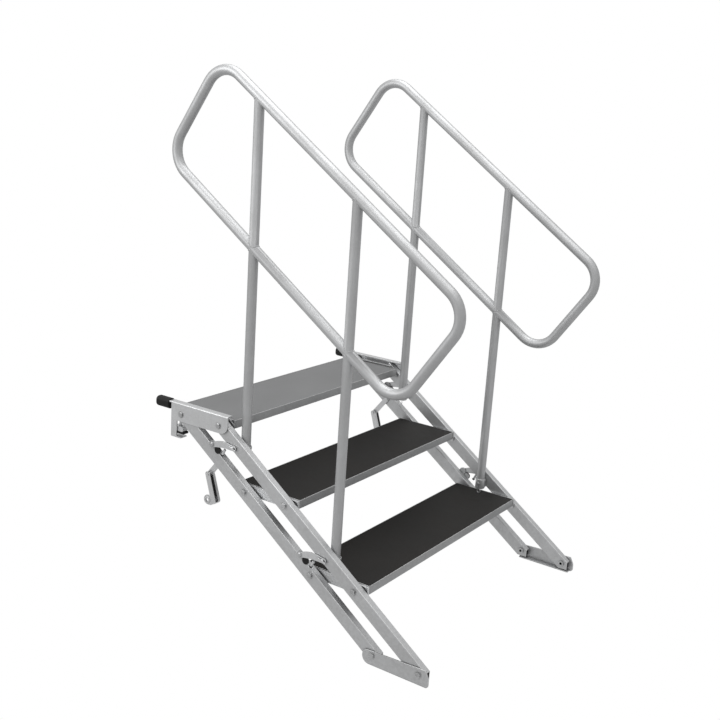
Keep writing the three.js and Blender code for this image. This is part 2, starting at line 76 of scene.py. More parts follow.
POST_RADIUS = 16 * MM
RAIL_X = 480 * MM
RAIL_SLOPE = math.radians(34.4)
RAIL_BOTTOM, RAIL_TOP = 533 * MM, 915 * MM
RAIL_REAR, RAIL_FRONT = -722 * MM, 423 * MM
RAIL_BEND = 90 * MM
TUBE_RADIUS = 16.75 * MM
POST_OFFSETS = (-78.6 * MM, -463.2 * MM)                      # from the top front pivot
SOCKET_TOP = -62 * MM
SOCKET_HIGH, SOCKET_RADIUS, SOCKET_BORE = 39 * MM, 18.8 * MM, 16.9 * MM

# ------------------------------------------------------------------ shared shader effects


class Nodes:
    """Adds nodes to one tree and joins them up."""

    def __init__(self, tree):
        self.tree = tree

    def add(self, kind, settings=None, **values):
        node = self.tree.nodes.new(kind)
        for name, value in (settings or {}).items():
            setattr(node, name, value)
        for name, value in values.items():
            self.feed(node.inputs[name.replace("_", " ")], value)
        return node

    def feed(self, socket, value):
        if isinstance(value, bpy.types.NodeSocket):
            self.tree.links.new(value, socket)
        else:
            socket.default_value = value

    def maths(self, operation, first, second=0.0, clamp=False):
        node = self.tree.nodes.new("ShaderNodeMath")
        node.operation = operation
        node.use_clamp = clamp
        self.feed(node.inputs[0], first)
        self.feed(node.inputs[1], second)
        return node.outputs[0]

    def span(self, value, from_low, from_high, to_low=0.0, to_high=1.0):
        node = self.tree.nodes.new("ShaderNodeMapRange")
        for socket, amount in zip(node.inputs, (value, from_low, from_high, to_low, to_high)):
            self.feed(socket, amount)
        return node.outputs[0]

    def blend(self, amount, first, second):
        node = self.tree.nodes.new("ShaderNodeMix")
        node.data_type = "RGBA"
        self.feed(node.inputs[0], amount)
        self.feed(node.inputs[6], first)
        self.feed(node.inputs[7], second)
        return node.outputs[2]


def new_group(name, inputs, outputs):
    """An empty shader node group with named number inputs and number outputs."""
    tree = bpy.data.node_groups.new(name, "ShaderNodeTree")
    for label, value in inputs:
        socket = tree.interface.new_socket(label, in_out="INPUT", socket_type="NodeSocketFloat")
        socket.default_value = value
    for label in outputs:
        tree.interface.new_socket(label, in_out="OUTPUT", socket_type="NodeSocketFloat")
    nodes = Nodes(tree)
    return tree, nodes, nodes.add("NodeGroupInput"), nodes.add("NodeGroupOutput")


def object_place(nodes, stretch=(1, 1, 1)):
    place = nodes.add("ShaderNodeTexCoord")
    mapping = nodes.add("ShaderNodeMapping", Vector=place.outputs["Object"])
    mapping.inputs["Scale"].default_value = stretch
    return mapping.outputs["Vector"]


def build_edge_wear_and_highlight():
    """Where the surface turns over an edge, broken up by noise: partly wear, partly a painted highlight along
    the edge.
    """
    tree, nodes, given, result = new_group("edge_wear_and_painted_highlight", [("Reach", 0.0015), ("Strength", 1.0)], ["Mask"])
    rounded = nodes.add("ShaderNodeBevel", {"samples": 4})
    nodes.feed(rounded.inputs["Radius"], given.outputs["Reach"])
    flat = nodes.add("ShaderNodeNewGeometry")
    likeness = nodes.tree.nodes.new("ShaderNodeVectorMath")
    likeness.operation = "DOT_PRODUCT"
    nodes.feed(likeness.inputs[0], rounded.outputs["Normal"])
    nodes.feed(likeness.inputs[1], flat.outputs["Normal"])
    turned_over = nodes.span(likeness.outputs["Value"], 0.985, 0.88)
    breakup_noise = nodes.add("ShaderNodeTexNoise", Vector=object_place(nodes), Scale=25.0, Detail=2.0)
    broken = nodes.span(breakup_noise.outputs["Fac"], 0.15, 0.45)
    mask = nodes.maths("MULTIPLY", turned_over, broken)
    nodes.feed(result.inputs["Mask"], nodes.maths("MULTIPLY", mask, given.outputs["Strength"], clamp=True))
    return tree


def build_spangle():
    """Zinc crystals: flat cells of slightly different tone, a few millimetres to a centimetre across."""
    tree, nodes, given, result = new_group("zinc_spangle", [("Cells", 110.0)], ["Tone", "Height"])
    drift = nodes.add("ShaderNodeTexNoise", Vector=object_place(nodes), Scale=45.0, Detail=2.0)
    bent = nodes.tree.nodes.new("ShaderNodeVectorMath")
    bent.operation = "MULTIPLY_ADD"
    nodes.feed(bent.inputs[0], drift.outputs["Color"])
    bent.inputs[1].default_value = (0.012, 0.012, 0.012)
    nodes.feed(bent.inputs[2], object_place(nodes))
    cells = nodes.add("ShaderNodeTexVoronoi", Vector=bent.outputs["Vector"])
    nodes.feed(cells.inputs["Scale"], given.outputs["Cells"])
    tone = nodes.add("ShaderNodeSeparateColor", Color=cells.outputs["Color"]).outputs["Red"]
    nodes.feed(result.inputs["Tone"], tone)
    pits = nodes.add("ShaderNodeTexNoise", Vector=object_place(nodes), Scale=420.0, Detail=4.0)
    height = nodes.maths("ADD", nodes.maths("MULTIPLY", tone, 0.35),
                         nodes.maths("MULTIPLY", pits.outputs["Fac"], 0.65))
    nodes.feed(result.inputs["Height"], height)
    return tree


def build_grain():
    """Fine lines left by rolling or drawing the metal, longest along the piece."""
    tree, nodes, given, result = new_group("drawn_grain", [("Fineness", 1.0)], ["Tone", "Height"])
    fine = nodes.add("ShaderNodeTexNoise", Vector=object_place(nodes, (900, 70, 70)), Detail=3.0)
    nodes.feed(fine.inputs["Scale"], given.outputs["Fineness"])
    broad = nodes.add("ShaderNodeTexNoise", Vector=object_place(nodes, (140, 9, 9)), Detail=2.0)
    nodes.feed(broad.inputs["Scale"], given.outputs["Fineness"])
    both = nodes.maths("ADD", nodes.maths("MULTIPLY", fine.outputs["Fac"], 0.6),
                       nodes.maths("MULTIPLY", broad.outputs["Fac"], 0.4))
    nodes.feed(result.inputs["Tone"], nodes.span(both, 0.3, 0.7))
    nodes.feed(result.inputs["Height"], both)
    return tree


def build_smudges():
    """Broad handling marks and dull patches."""
    tree, nodes, given, result = new_group("handling_smudges", [("Size", 7.0)], ["Mask"])
    patches = nodes.add("ShaderNodeTexNoise", Vector=object_place(nodes), Detail=5.0, Roughness=0.62)
    nodes.feed(patches.inputs["Scale"], given.outputs["Size"])
    nodes.feed(result.inputs["Mask"], nodes.span(patches.outputs["Fac"], 0.36, 0.68))
    return tree


def build_crevice_shade():
    """Painted shade: a darker colour where pieces meet closely, standing for the light that is lost there."""
    tree, nodes, given, result = new_group("crevice_painted_shade", [("Reach", 0.006), ("Strength", 0.7)], ["Mask"])
    hollow = nodes.add("ShaderNodeAmbientOcclusion", {"samples": 6})
    nodes.feed(hollow.inputs["Distance"], given.outputs["Reach"])
    depth = nodes.span(hollow.outputs["AO"], 1.0, 0.35)
    spread = nodes.add("ShaderNodeTexNoise", Vector=object_place(nodes), Scale=90.0, Detail=3.0)
    uneven = nodes.span(spread.outputs["Fac"], 0.25, 0.6, 0.75, 1.0)
    mask = nodes.maths("MULTIPLY", depth, uneven)
    nodes.feed(result.inputs["Mask"], nodes.maths("MULTIPLY", mask, given.outputs["Strength"], clamp=True))
    return tree


EDGE_WEAR_AND_HIGHLIGHT = build_edge_wear_and_highlight()
CREVICE_SHADE = build_crevice_shade()
SPANGLE = build_spangle()
GRAIN = build_grain()
SMUDGES = build_smudges()


def place_group(nodes, tree, **values):
    node = nodes.tree.nodes.new("ShaderNodeGroup")
    node.node_tree = tree
    for name, value in values.items():
        nodes.feed(node.inputs[name], value)
    return node


def grey(level, warm=0.0):
    return (level * (1 + warm), level, level * (1 - warm), 1)


def new_material(name):
    material = bpy.data.materials.new(name)
    material.use_nodes = True
    nodes = Nodes(material.node_tree)
    return material, nodes, material.node_tree.nodes["Principled BSDF"]


def metal_finish(name, dull, bright, worn_and_highlit, roughness, metallic, cells, crystal, grain, relief, edge_rub_and_highlight=0.85,
                 crevice_shade=0.6):
    """Zinc or silver metal: crystals, drawn grain, smudges, brighter edges that are partly wear and partly
    painted highlight, and painted shade where pieces meet.
    """
    material, nodes, surface = new_material(name)
    surface.inputs["Metallic"].default_value = metallic
    crystals = place_group(nodes, SPANGLE, Cells=cells)
    lines = place_group(nodes, GRAIN, Fineness=1.0)
    marks = place_group(nodes, SMUDGES, Size=7.0)
    wear_and_highlight = place_group(nodes, EDGE_WEAR_AND_HIGHLIGHT, Reach=2 * MM, Strength=edge_rub_and_highlight)
    tone = nodes.maths("MULTIPLY", crystals.outputs["Tone"], crystal)
    tone = nodes.maths("ADD", tone, nodes.maths("MULTIPLY", lines.outputs["Tone"], grain))
    rest = 1.0 - crystal - grain
    tone = nodes.maths("ADD", tone, nodes.maths("MULTIPLY", marks.outputs["Mask"], rest), clamp=True)
    body = nodes.blend(tone, grey(dull, -0.006), grey(bright, -0.012))
    # Painted shade: the colour is darkened towards grey(dull * 0.25) where pieces meet closely.
    painted_shade = place_group(nodes, CREVICE_SHADE, Reach=6 * MM, Strength=crevice_shade)
    # Brighter edges: partly wear, partly a painted highlight along the edge.
    rubbed_and_highlit = nodes.blend(wear_and_highlight.outputs["Mask"], body, grey(worn_and_highlit))
    nodes.feed(surface.inputs["Base Color"], nodes.blend(painted_shade.outputs["Mask"], rubbed_and_highlit, grey(dull * 0.25)))
    rough = nodes.span(nodes.maths("SUBTRACT", 1.0, tone), 0.0, 1.0, roughness - 0.05, roughness + 0.07)
    nodes.feed(surface.inputs["Roughness"], rough)
    height = nodes.maths("ADD", nodes.maths("MULTIPLY", crystals.outputs["Height"], 0.6),
                         nodes.maths("MULTIPLY", lines.outputs["Height"], 0.4))
    bump = nodes.add("ShaderNodeBump", Strength=relief, Distance=0.12 * MM, Height=height)
    nodes.feed(surface.inputs["Normal"], bump.outputs["Normal"])
    return material


def film_board(name, dark, light, scuffed, warm):
    """Plywood with a smooth resin film pressed with a fine square mesh that feet can grip."""
    material, nodes, surface = new_material(name)
    surface.inputs["Specular IOR Level"].default_value = 0.22
    mesh_pitch = 5.5 * MM
    place = nodes.add("ShaderNodeSeparateXYZ", Vector=object_place(nodes))
    ridges = []
    for axis in ("X", "Y"):
        turn = nodes.maths("MULTIPLY", place.outputs[axis], math.pi / mesh_pitch)
        ridges.append(nodes.maths("POWER", nodes.maths("ABSOLUTE", nodes.maths("SINE", turn)), 8.0))
    pressed = nodes.maths("MAXIMUM", ridges[0], ridges[1])
    marks = place_group(nodes, SMUDGES, Size=5.0)
    dust = nodes.add("ShaderNodeTexNoise", Vector=object_place(nodes), Scale=260.0, Detail=4.0)
    tone = nodes.maths("ADD", nodes.maths("MULTIPLY", marks.outputs["Mask"], 0.55),
                       nodes.maths("MULTIPLY", dust.outputs["Fac"], 0.45))
    # Edges lighter towards the scuffed tone: partly wear, partly a painted highlight.
    wear_and_highlight = place_group(nodes, EDGE_WEAR_AND_HIGHLIGHT, Reach=2 * MM, Strength=0.6)
    film = nodes.blend(tone, grey(dark, warm), grey(light, warm))
    nodes.feed(surface.inputs["Base Color"], nodes.blend(wear_and_highlight.outputs["Mask"], film, grey(scuffed, warm)))
    nodes.feed(surface.inputs["Roughness"], nodes.span(tone, 0.0, 1.0, 0.48, 0.62))
    height = nodes.maths("ADD", nodes.maths("MULTIPLY", pressed, 0.8),
                         nodes.maths("MULTIPLY", dust.outputs["Fac"], 0.2))
    bump = nodes.add("ShaderNodeBump", Strength=0.35, Distance=0.15 * MM, Height=height)
    nodes.feed(surface.inputs["Normal"], bump.outputs["Normal"])
    return material


def moulded_rubber(name, dark, light):
    material, nodes, surface = new_material(name)
    surface.inputs["Specular IOR Level"].default_value = 0.3
    skin = nodes.add("ShaderNodeTexNoise", Vector=object_place(nodes), Scale=700.0, Detail=5.0)
    marks = place_group(nodes, SMUDGES, Size=24.0)
    # Edges lighter than the body: partly wear, partly a painted highlight.
    wear_and_highlight = place_group(nodes, EDGE_WEAR_AND_HIGHLIGHT, Reach=2 * MM, Strength=0.5)
    tone = nodes.maths("ADD", nodes.maths("MULTIPLY", skin.outputs["Fac"], 0.4),
                       nodes.maths("MULTIPLY", marks.outputs["Mask"], 0.6))
    body = nodes.blend(tone, grey(dark), grey(light))
    nodes.feed(surface.inputs["Base Color"], nodes.blend(wear_and_highlight.outputs["Mask"], body, grey(light * 2.2)))
    nodes.feed(surface.inputs["Roughness"], nodes.span(tone, 0.0, 1.0, 0.48, 0.66))
    bump = nodes.add("ShaderNodeBump", Strength=0.3, Distance=0.1 * MM, Height=skin.outputs["Fac"])
    nodes.feed(surface.inputs["Normal"], bump.outputs["Normal"])
    return material


GALVANISED = metal_finish("galvanised_stringer_steel", dull=0.52, bright=0.66, worn_and_highlit=0.90, roughness=0.44,
                          metallic=0.85, cells=110.0, crystal=0.35, grain=0.15, relief=0.5)
TUBE_SILVER = metal_finish("silver_handrail_tube", dull=0.47, bright=0.57, worn_and_highlit=0.78, roughness=0.50,
                           metallic=0.85, cells=160.0, crystal=0.15, grain=0.25, relief=0.03, edge_rub_and_highlight=0.0,
                           crevice_shade=0.0)
BRIGHT_ZINC = metal_finish("bright_zinc_fittings", dull=0.62, bright=0.80, worn_and_highlit=0.86, roughness=0.36,
                           metallic=0.9, cells=240.0, crystal=0.25, grain=0.25, relief=0.35)
TREAD_STEEL = metal_finish("tread_frame_steel", dull=0.34, bright=0.46, worn_and_highlit=0.80, roughness=0.42,
                           metallic=0.85, cells=140.0, crystal=0.20, grain=0.30, relief=0.35)
DARK_BOARD = film_board("brown_film_board", dark=0.004, light=0.010, scuffed=0.05, warm=0.14)
# The top board's light grey tone is partly painted sheen: it stands for the reflection that the board shows
# at a low angle.
GREY_BOARD_WITH_SHEEN = film_board("grey_top_board_with_painted_sheen", dark=0.155, light=0.190, scuffed=0.30, warm=-0.01)
RUBBER = moulded_rubber("black_rubber", dark=0.004, light=0.010)
BOLT_STEEL = metal_finish("bolt_steel", dull=0.42, bright=0.72, worn_and_highlit=0.95, roughness=0.26,
                          metallic=0.95, cells=300.0, crystal=0.3, grain=0.1, relief=0.3)

# ------------------------------------------------------------------ solids


def layer(side, near, far):
    """The low and high X of a layer that lies between two distances from the middle, on one side."""
    return (near, far) if side > 0 else (-far, -near)


def on_slope(along, above, rear=False):
    """A place in the side view: down the stringer from its top pivot, and square to it."""
    return TOP_PIVOT.yz + DOWN * along + OFF * above + Vector((LINK if rear else 0, 0))


def from_top(y, z):
    """A place in the side view, level and upright from the top front pivot."""
    return TOP_PIVOT.yz + Vector((y, z))


def side_view(point, across):
    return Vector((across, point[0], point[1]))


def plan_view(point, height):
    return Vector((point[0], point[1], height))


def end_view(point, along):
    return Vector((point[0], along, point[1]))


def place_solid(build):
    bmesh.ops.recalc_face_normals(build, faces=build.faces)
    mesh = bpy.data.meshes.new("part")
    build.to_mesh(mesh)
    build.free()
    part = bpy.data.objects.new("part", mesh)
    bpy.context.collection.objects.link(part)
    return part


def loft(rings):
    """A closed solid through rings that have the same number of points."""
    build = bmesh.new()
    loops = [[build.verts.new(point) for point in ring] for ring in rings]
    build.faces.new(loops[0])
    build.faces.new(loops[-1])
    for first, second in zip(loops, loops[1:]):
        for index in range(len(first)):
            after = (index + 1) % len(first)
            build.faces.new((first[index], second[index], second[after], first[after]))
    return place_solid(build)


def prism(outline, low, high, view=side_view, soft=0.0):
    """An outline drawn in one view and carried straight through a layer, its edges rounded by 'soft'."""
    part = loft([[view(point, low) for point in outline], [view(point, high) for point in outline]])
    return soften(part, soft) if soft else part


def circle_points(centre, radius, start=0.0, end=2 * math.pi, steps=32, whole=True):
    count = steps if whole else steps + 1
    angles = [start + (end - start) * step / steps for step in range(count)]
    return [Vector(centre) + Vector((math.cos(angle), math.sin(angle))) * radius for angle in angles]


def rounded_outline(corners, steps=6):
    """A straight-sided outline whose corners are rounded by the radius given with each point."""
    points = []
    for index, (y, z, radius) in enumerate(corners):
        corner = Vector((y, z))
        if radius <= 0:
            points.append(corner)
            continue
        arrive = (Vector(corners[index - 1][:2]) - corner).normalized()
        leave = (Vector(corners[(index + 1) % len(corners)][:2]) - corner).normalized()
        half = arrive.angle(leave) / 2
        centre = corner + (arrive + leave).normalized() * radius / math.sin(half)
        start = corner + arrive * radius / math.tan(half) - centre
        end = corner + leave * radius / math.tan(half) - centre
        first = math.atan2(start.y, start.x)
        turn = math.remainder(math.atan2(end.y, end.x) - first, 2 * math.pi)
        points += circle_points(centre, radius, first, first + turn, steps, whole=False)
    return points


def rounded_rectangle(low_x, high_x, low_y, high_y, radius, steps=5):
    return rounded_outline([(low_x, low_y, radius), (high_x, low_y, radius), (high_x, high_y, radius),
                            (low_x, high_y, radius)], steps)


def half_round(centre, radius, first, steps):
    """Half a circle of points, from a first direction round to the opposite one."""
    return circle_points(centre, radius, first, first + math.pi, steps, whole=False)


def round_bar(start, end, radius):
    """The outline of a bar with round ends between two places."""
    along = Vector(end) - Vector(start)
    angle = math.atan2(along.y, along.x)
    quarter, steps = math.pi / 2, 14
    return half_round(end, radius, angle - quarter, steps) + half_round(start, radius, angle + quarter, steps)


def turned(profile, base, axis, sides=32):
    """A turned solid: (distance along the axis, radius) pairs from end to end."""
    turn = Vector(axis).to_track_quat("Z", "Y")
    rings = []
    for along, radius in profile:
        ring = circle_points((0, 0), radius, steps=sides)
        rings.append([Vector(base) + turn @ Vector((point.x, point.y, along)) for point in ring])
    return loft(rings)


def cross_rod(radius, place, low, high, sides=32):
    return turned([(0, radius), (high - low, radius)], (low, place[0], place[1]), AXIS_X, sides)


def block(x, y, z, soft=0.0):
    corners = [(x[0], y[0]), (x[1], y[0]), (x[1], y[1]), (x[0], y[1])]
    return prism(corners, z[0], z[1], plan_view, soft)


def swept_tube(points, radius, sides=32, closed=False):
    """A round bar along points that lie in one upright plane square to X."""
    build = bmesh.new()
    loops = []
    count = len(points)
    for index, point in enumerate(points):
        before = points[index - 1] if closed else points[max(index - 1, 0)]
        after = points[(index + 1) % count] if closed else points[min(index + 1, count - 1)]
        across = AXIS_X.cross((after - before).normalized())
        ring = circle_points((0, 0), radius, steps=sides)
        loops.append([build.verts.new(point + AXIS_X * spot.x + across * spot.y) for spot in ring])
    pairs = list(zip(loops, loops[1:]))
    if closed:
        pairs.append((loops[-1], loops[0]))
    else:
        build.faces.new(loops[0])
        build.faces.new(loops[-1])
    for first, second in pairs:
        for index in range(sides):
            after = (index + 1) % sides
            build.faces.new((first[index], second[index], second[after], first[after]))
    return place_solid(build)


def bake_modifiers(piece, helpers=()):
    """Turns a piece and its modifiers into a plain mesh, and clears away the solids that shaped it."""
    graph = bpy.context.evaluated_depsgraph_get()
    mesh = bpy.data.meshes.new_from_object(piece.evaluated_get(graph))
    piece.modifiers.clear()
    old = piece.data
    piece.data = mesh
    bpy.data.meshes.remove(old)
    for helper in helpers:
        shape = helper.data
        bpy.data.objects.remove(helper)
        bpy.data.meshes.remove(shape)
    return piece


def combine(base, joined=(), cut=()):
    for operation, parts in (("UNION", joined), ("DIFFERENCE", cut)):
        for part in parts:
            step = base.modifiers.new(operation, "BOOLEAN")
            step.solver = "MANIFOLD"
            step.operation = operation
            step.object = part
    return bake_modifiers(base, (*joined, *cut))


def soften(part, width):
    """Rounds over every sharp edge of one solid, before it is joined to others."""
    edges = part.modifiers.new("edges", "BEVEL")
    edges.width = width
    edges.segments = 2
    edges.limit_method = "ANGLE"
    edges.angle_limit = math.radians(32)
    edges.use_clamp_overlap = False
    return bake_modifiers(part)


def smooth(piece, sharpest=35):
    """Shades a piece smoothly between its sharp edges, with large flat faces kept flat."""
    for polygon in piece.data.polygons:
        polygon.use_smooth = True
    piece.data.set_sharp_from_angle(angle=math.radians(sharpest))
    weights = piece.modifiers.new("normals", "WEIGHTED_NORMAL")
    weights.keep_sharp = True
    return bake_modifiers(piece)


def hand_over(piece, name, body, material, replaced=()):
    """Gives a finished piece its name, finish and body, and the CAD nodes that it stands for."""
    piece.name = name
    piece.data.name = name
    piece.data.materials.clear()
    piece.data.materials.append(material)
    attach(piece, body)
    if replaced:
        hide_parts(*replaced)


# ------------------------------------------------------------------ repeated small parts, by Geometry Nodes


class Tree:
    """A Geometry Nodes tree with named inputs, which ends in Realize Instances and Set Material."""

    def __init__(self, name, inputs):
        self.tree = bpy.data.node_groups.new(name, "GeometryNodeTree")
        self.tree.interface.new_socket("Geometry", in_out="INPUT", socket_type="NodeSocketGeometry")
        for label, kind, value in inputs:
            socket = self.tree.interface.new_socket(label, in_out="INPUT", socket_type=kind)
            if value is not None:
                socket.default_value = value
        self.tree.interface.new_socket("Geometry", in_out="OUTPUT", socket_type="NodeSocketGeometry")
        self.given = self.add("NodeGroupInput").outputs

    def add(self, kind, settings=None, **values):
        node = self.tree.nodes.new(kind)
        for name, value in (settings or {}).items():
            setattr(node, name, value)
        for name, value in values.items():
            self.feed(node.inputs[name.replace("_", " ")], value)
        return node

    def feed(self, socket, value):
        if isinstance(value, bpy.types.NodeSocket):
            self.tree.links.new(value, socket)
        else:
            socket.default_value = value

    def maths(self, operation, first, second=0.0):
        node = self.add("ShaderNodeMath", {"operation": operation})
        self.feed(node.inputs[0], first)
        self.feed(node.inputs[1], second)
        return node.outputs[0]

    def upright_cylinder(self, sides, radius, low, high):
        """A cylinder about Z between two heights."""
        body = self.add("GeometryNodeMeshCylinder", Vertices=sides, Radius=radius,
                        Depth=self.maths("SUBTRACT", high, low))
        middle = self.maths("MULTIPLY", self.maths("ADD", high, low), 0.5)
        lift = self.add("ShaderNodeCombineXYZ", Z=middle)
        return self.add("GeometryNodeTransform", Geometry=body.outputs["Mesh"],
                        Translation=lift.outputs["Vector"]).outputs["Geometry"]

    def finish(self, geometry):
        real = self.add("GeometryNodeRealizeInstances", Geometry=geometry)
        painted = self.add("GeometryNodeSetMaterial", Geometry=real.outputs["Geometry"],
                           Material=self.given["Finish"])
        self.feed(self.add("NodeGroupOutput").inputs["Geometry"], painted.outputs["Geometry"])
        return self.tree


def build_fastener_tree():
    """A hexagon bolt, washer, shank and nut at every point; 'facing' says which way its head looks."""
    tree = Tree("pivot_fastener", [
        ("Head Radius", "NodeSocketFloat", 9 * MM), ("Head Height", "NodeSocketFloat", 4.4 * MM),
        ("Washer Radius", "NodeSocketFloat", 11.5 * MM), ("Washer Height", "NodeSocketFloat", 1 * MM),
        ("Shank Radius", "NodeSocketFloat", 5 * MM), ("Shank Length", "NodeSocketFloat", 36 * MM),
        ("Nut Radius", "NodeSocketFloat", 9 * MM), ("Nut Height", "NodeSocketFloat", 6 * MM),
        ("Seed", "NodeSocketInt", 4), ("Finish", "NodeSocketMaterial", None),
    ])
    given = tree.given
    seat = given["Washer Height"]
    crown = tree.maths("ADD", seat, given["Head Height"])
    flank_top = tree.maths("SUBTRACT", crown, 1 * MM)
    tail = tree.maths("MULTIPLY", given["Shank Length"], -1)
    nut_end = tree.maths("ADD", tail, given["Nut Height"])
    dome = tree.add("GeometryNodeMeshCone", Vertices=18, Depth=1 * MM,
                    Radius_Top=tree.maths("MULTIPLY", given["Head Radius"], 0.66),
                    Radius_Bottom=tree.maths("MULTIPLY", given["Head Radius"], 0.9))
    raised = tree.add("GeometryNodeTransform", Geometry=dome.outputs["Mesh"],
                      Translation=tree.add("ShaderNodeCombineXYZ", Z=flank_top).outputs["Vector"])
    bolt = tree.add("GeometryNodeJoinGeometry")
    parts = [
        tree.upright_cylinder(28, given["Washer Radius"], 0.0, seat),
        tree.upright_cylinder(6, given["Head Radius"], seat, flank_top),
        raised.outputs["Geometry"],
        tree.upright_cylinder(20, given["Shank Radius"], tail, seat),
        tree.upright_cylinder(6, given["Nut Radius"], tail, nut_end),
    ]
    for part in parts:
        tree.feed(bolt.inputs["Geometry"], part)
    facing = tree.add("GeometryNodeInputNamedAttribute", Name="facing").outputs["Attribute"]
    tilt = tree.add("ShaderNodeCombineXYZ", Y=tree.maths("MULTIPLY", facing, math.pi / 2))
    placed = tree.add("GeometryNodeInstanceOnPoints", Points=given["Geometry"],
                      Instance=bolt.outputs["Geometry"], Rotation=tilt.outputs["Vector"])
    spin = tree.add("FunctionNodeRandomValue", {"data_type": "FLOAT"})
    for socket in spin.inputs:
        if socket.name == "Max" and socket.type == "VALUE":
            socket.default_value = 2 * math.pi
        elif socket.name == "Seed":
            tree.feed(socket, given["Seed"])
    value = next(socket for socket in spin.outputs if socket.type == "VALUE")
    about = tree.add("ShaderNodeCombineXYZ", Z=value)
    turned_round = tree.add("GeometryNodeRotateInstances", Instances=placed.outputs["Instances"],
                            Rotation=about.outputs["Vector"])
    return tree.finish(turned_round.outputs["Instances"])


def build_weld_tree():
    """A rippled bead of weld along every line that it is given."""
    tree = Tree("weld_bead", [
        ("Bead Radius", "NodeSocketFloat", 2.2 * MM), ("Ripple Pitch", "NodeSocketFloat", 2.4 * MM),
        ("Ripple Depth", "NodeSocketFloat", 0.22), ("Finish", "NodeSocketMaterial", None),
    ])
    given = tree.given
    line = tree.add("GeometryNodeMeshToCurve", Mesh=given["Geometry"])
    even = tree.add("GeometryNodeResampleCurve", {"mode": "LENGTH"}, Curve=line.outputs["Curve"])
    tree.feed(even.inputs["Length"], tree.maths("MULTIPLY", given["Ripple Pitch"], 0.34))
    travelled = tree.add("GeometryNodeSplineParameter").outputs["Length"]
    phase = tree.maths("DIVIDE", tree.maths("MULTIPLY", travelled, 2 * math.pi), given["Ripple Pitch"])
    swell = tree.maths("MULTIPLY", tree.maths("SINE", phase), given["Ripple Depth"])
    wide = tree.maths("MULTIPLY", tree.maths("ADD", swell, 1.0), given["Bead Radius"])
    section = tree.add("GeometryNodeCurvePrimitiveCircle", Resolution=8, Radius=1.0)
    bead = tree.add("GeometryNodeCurveToMesh", Curve=even.outputs["Curve"],
                    Profile_Curve=section.outputs["Curve"], Fill_Caps=True)
    if "Scale" in bead.inputs:
        tree.feed(bead.inputs["Scale"], wide)
    else:
        sized = tree.add("GeometryNodeSetCurveRadius", Curve=even.outputs["Curve"], Radius=wide)
        tree.feed(bead.inputs["Curve"], sized.outputs["Curve"])
    return tree.finish(bead.outputs["Mesh"])


def run_tree(tree, carrier, **inputs):
    """Runs a tree on an object, with its inputs set by identifier, and keeps the result as a plain mesh."""
    step = carrier.modifiers.new("build", "NODES")
    step.node_group = tree
    identifiers = {item.name: item.identifier for item in tree.interface.items_tree
                   if item.item_type == "SOCKET" and item.in_out == "INPUT"}
    for name, value in inputs.items():
        step[identifiers[name.replace("_", " ")]] = value
    return bake_modifiers(carrier)


def carrier_of(points, edges=(), facing=None):
    mesh = bpy.data.meshes.new("carrier")
    mesh.from_pydata([tuple(point) for point in points], list(edges), [])
    if facing is not None:
        attribute = mesh.attributes.new("facing", "FLOAT", "POINT")
        attribute.data.foreach_set("value", facing)
    carrier = bpy.data.objects.new("carrier", mesh)
    bpy.context.collection.objects.link(carrier)
    return carrier


FASTENER_TREE = build_fastener_tree()
WELD_TREE = build_weld_tree()


def make_fasteners():
    """One mesh of bolts for each body that carries them."""
    groups = [(f"{tread}_step", f"{tread}_pivot_bolts", tread, index, SIDES)
              for index, tread in enumerate(TREADS)]
    groups += [(f"{label}_foot", f"{label}_foot_bolts", "foot", 3, ((label, side),)) for label, side in SIDES]
    for body, name, place, index, sides in groups:
        seat = OUTER_FAR if place in ("top", "foot") else STRINGER_FAR
        tail = 494 * MM if place == "foot" else PLATE_NEAR + 1 * MM
        points, facing, replaced = [], [], []
        for label, side in sides:
            for pivot, end in ((FRONT_PIVOTS[index], "front"), (REAR_PIVOTS[index], "rear")):
                points.append((side * seat, pivot.x, pivot.y))
                facing.append(float(side))
                replaced.append(f"{label}_{place}_{end}_bolt")
        head = (4.4 if seat == OUTER_FAR else 6.5) * MM
        bolts = run_tree(FASTENER_TREE, carrier_of(points, facing=facing), Shank_Length=seat - tail,
                         Head_Height=head,
                         Nut_Radius=(10.5 if place == "foot" else 8) * MM,
                         Nut_Height=(6 if place == "foot" else 1.5) * MM, Seed=index + 3, Finish=BOLT_STEEL)
        hand_over(smooth(bolts, 30), name, body, BOLT_STEEL, replaced)


# ------------------------------------------------------------------ handrails


def on_rail(x, down, up):
    """A place on a handrail: down the rail and square to it, from the top front pivot."""
    y = -down * math.cos(RAIL_SLOPE) - up * math.sin(RAIL_SLOPE)
    z = -down * math.sin(RAIL_SLOPE) + up * math.cos(RAIL_SLOPE)
    return Vector((x, TOP_PIVOT.y + y, TOP_PIVOT.z + z))


def rail_crossing(y, up):
    """How far down the rail a post at this place meets the line this far up."""
    return -(y + up * math.sin(RAIL_SLOPE)) / math.cos(RAIL_SLOPE)


def bend_points(x, down, up, first):
    """A quarter bend of the rail about a centre."""
    steps = 12
    points = []
    for step in range(steps + 1):
        angle = math.radians(first + 90 * step / steps)
        points.append(on_rail(x, down + RAIL_BEND * math.cos(angle), up + RAIL_BEND * math.sin(angle)))
    return points


def socket_top(index):
    shift = POST_OFFSETS[index] - POST_OFFSETS[0]
    return TOP_PIVOT.z + SOCKET_TOP + shift * DOWN.y / DOWN.x


def saddle_line(place, lower):
    """The closed line where an upright post meets the rail, below or above the rail's own line."""
    points = []
    sign = -1 if lower else 1
    for spot in circle_points((0, 0), POST_RADIUS + 0.3 * MM, steps=40):
        along, across = spot.y, math.sqrt(TUBE_RADIUS ** 2 - spot.x ** 2)
        height = (along * math.sin(RAIL_SLOPE) + sign * across) / math.cos(RAIL_SLOPE)
        points.append(place + Vector((spot.x, along, height)))
    return points


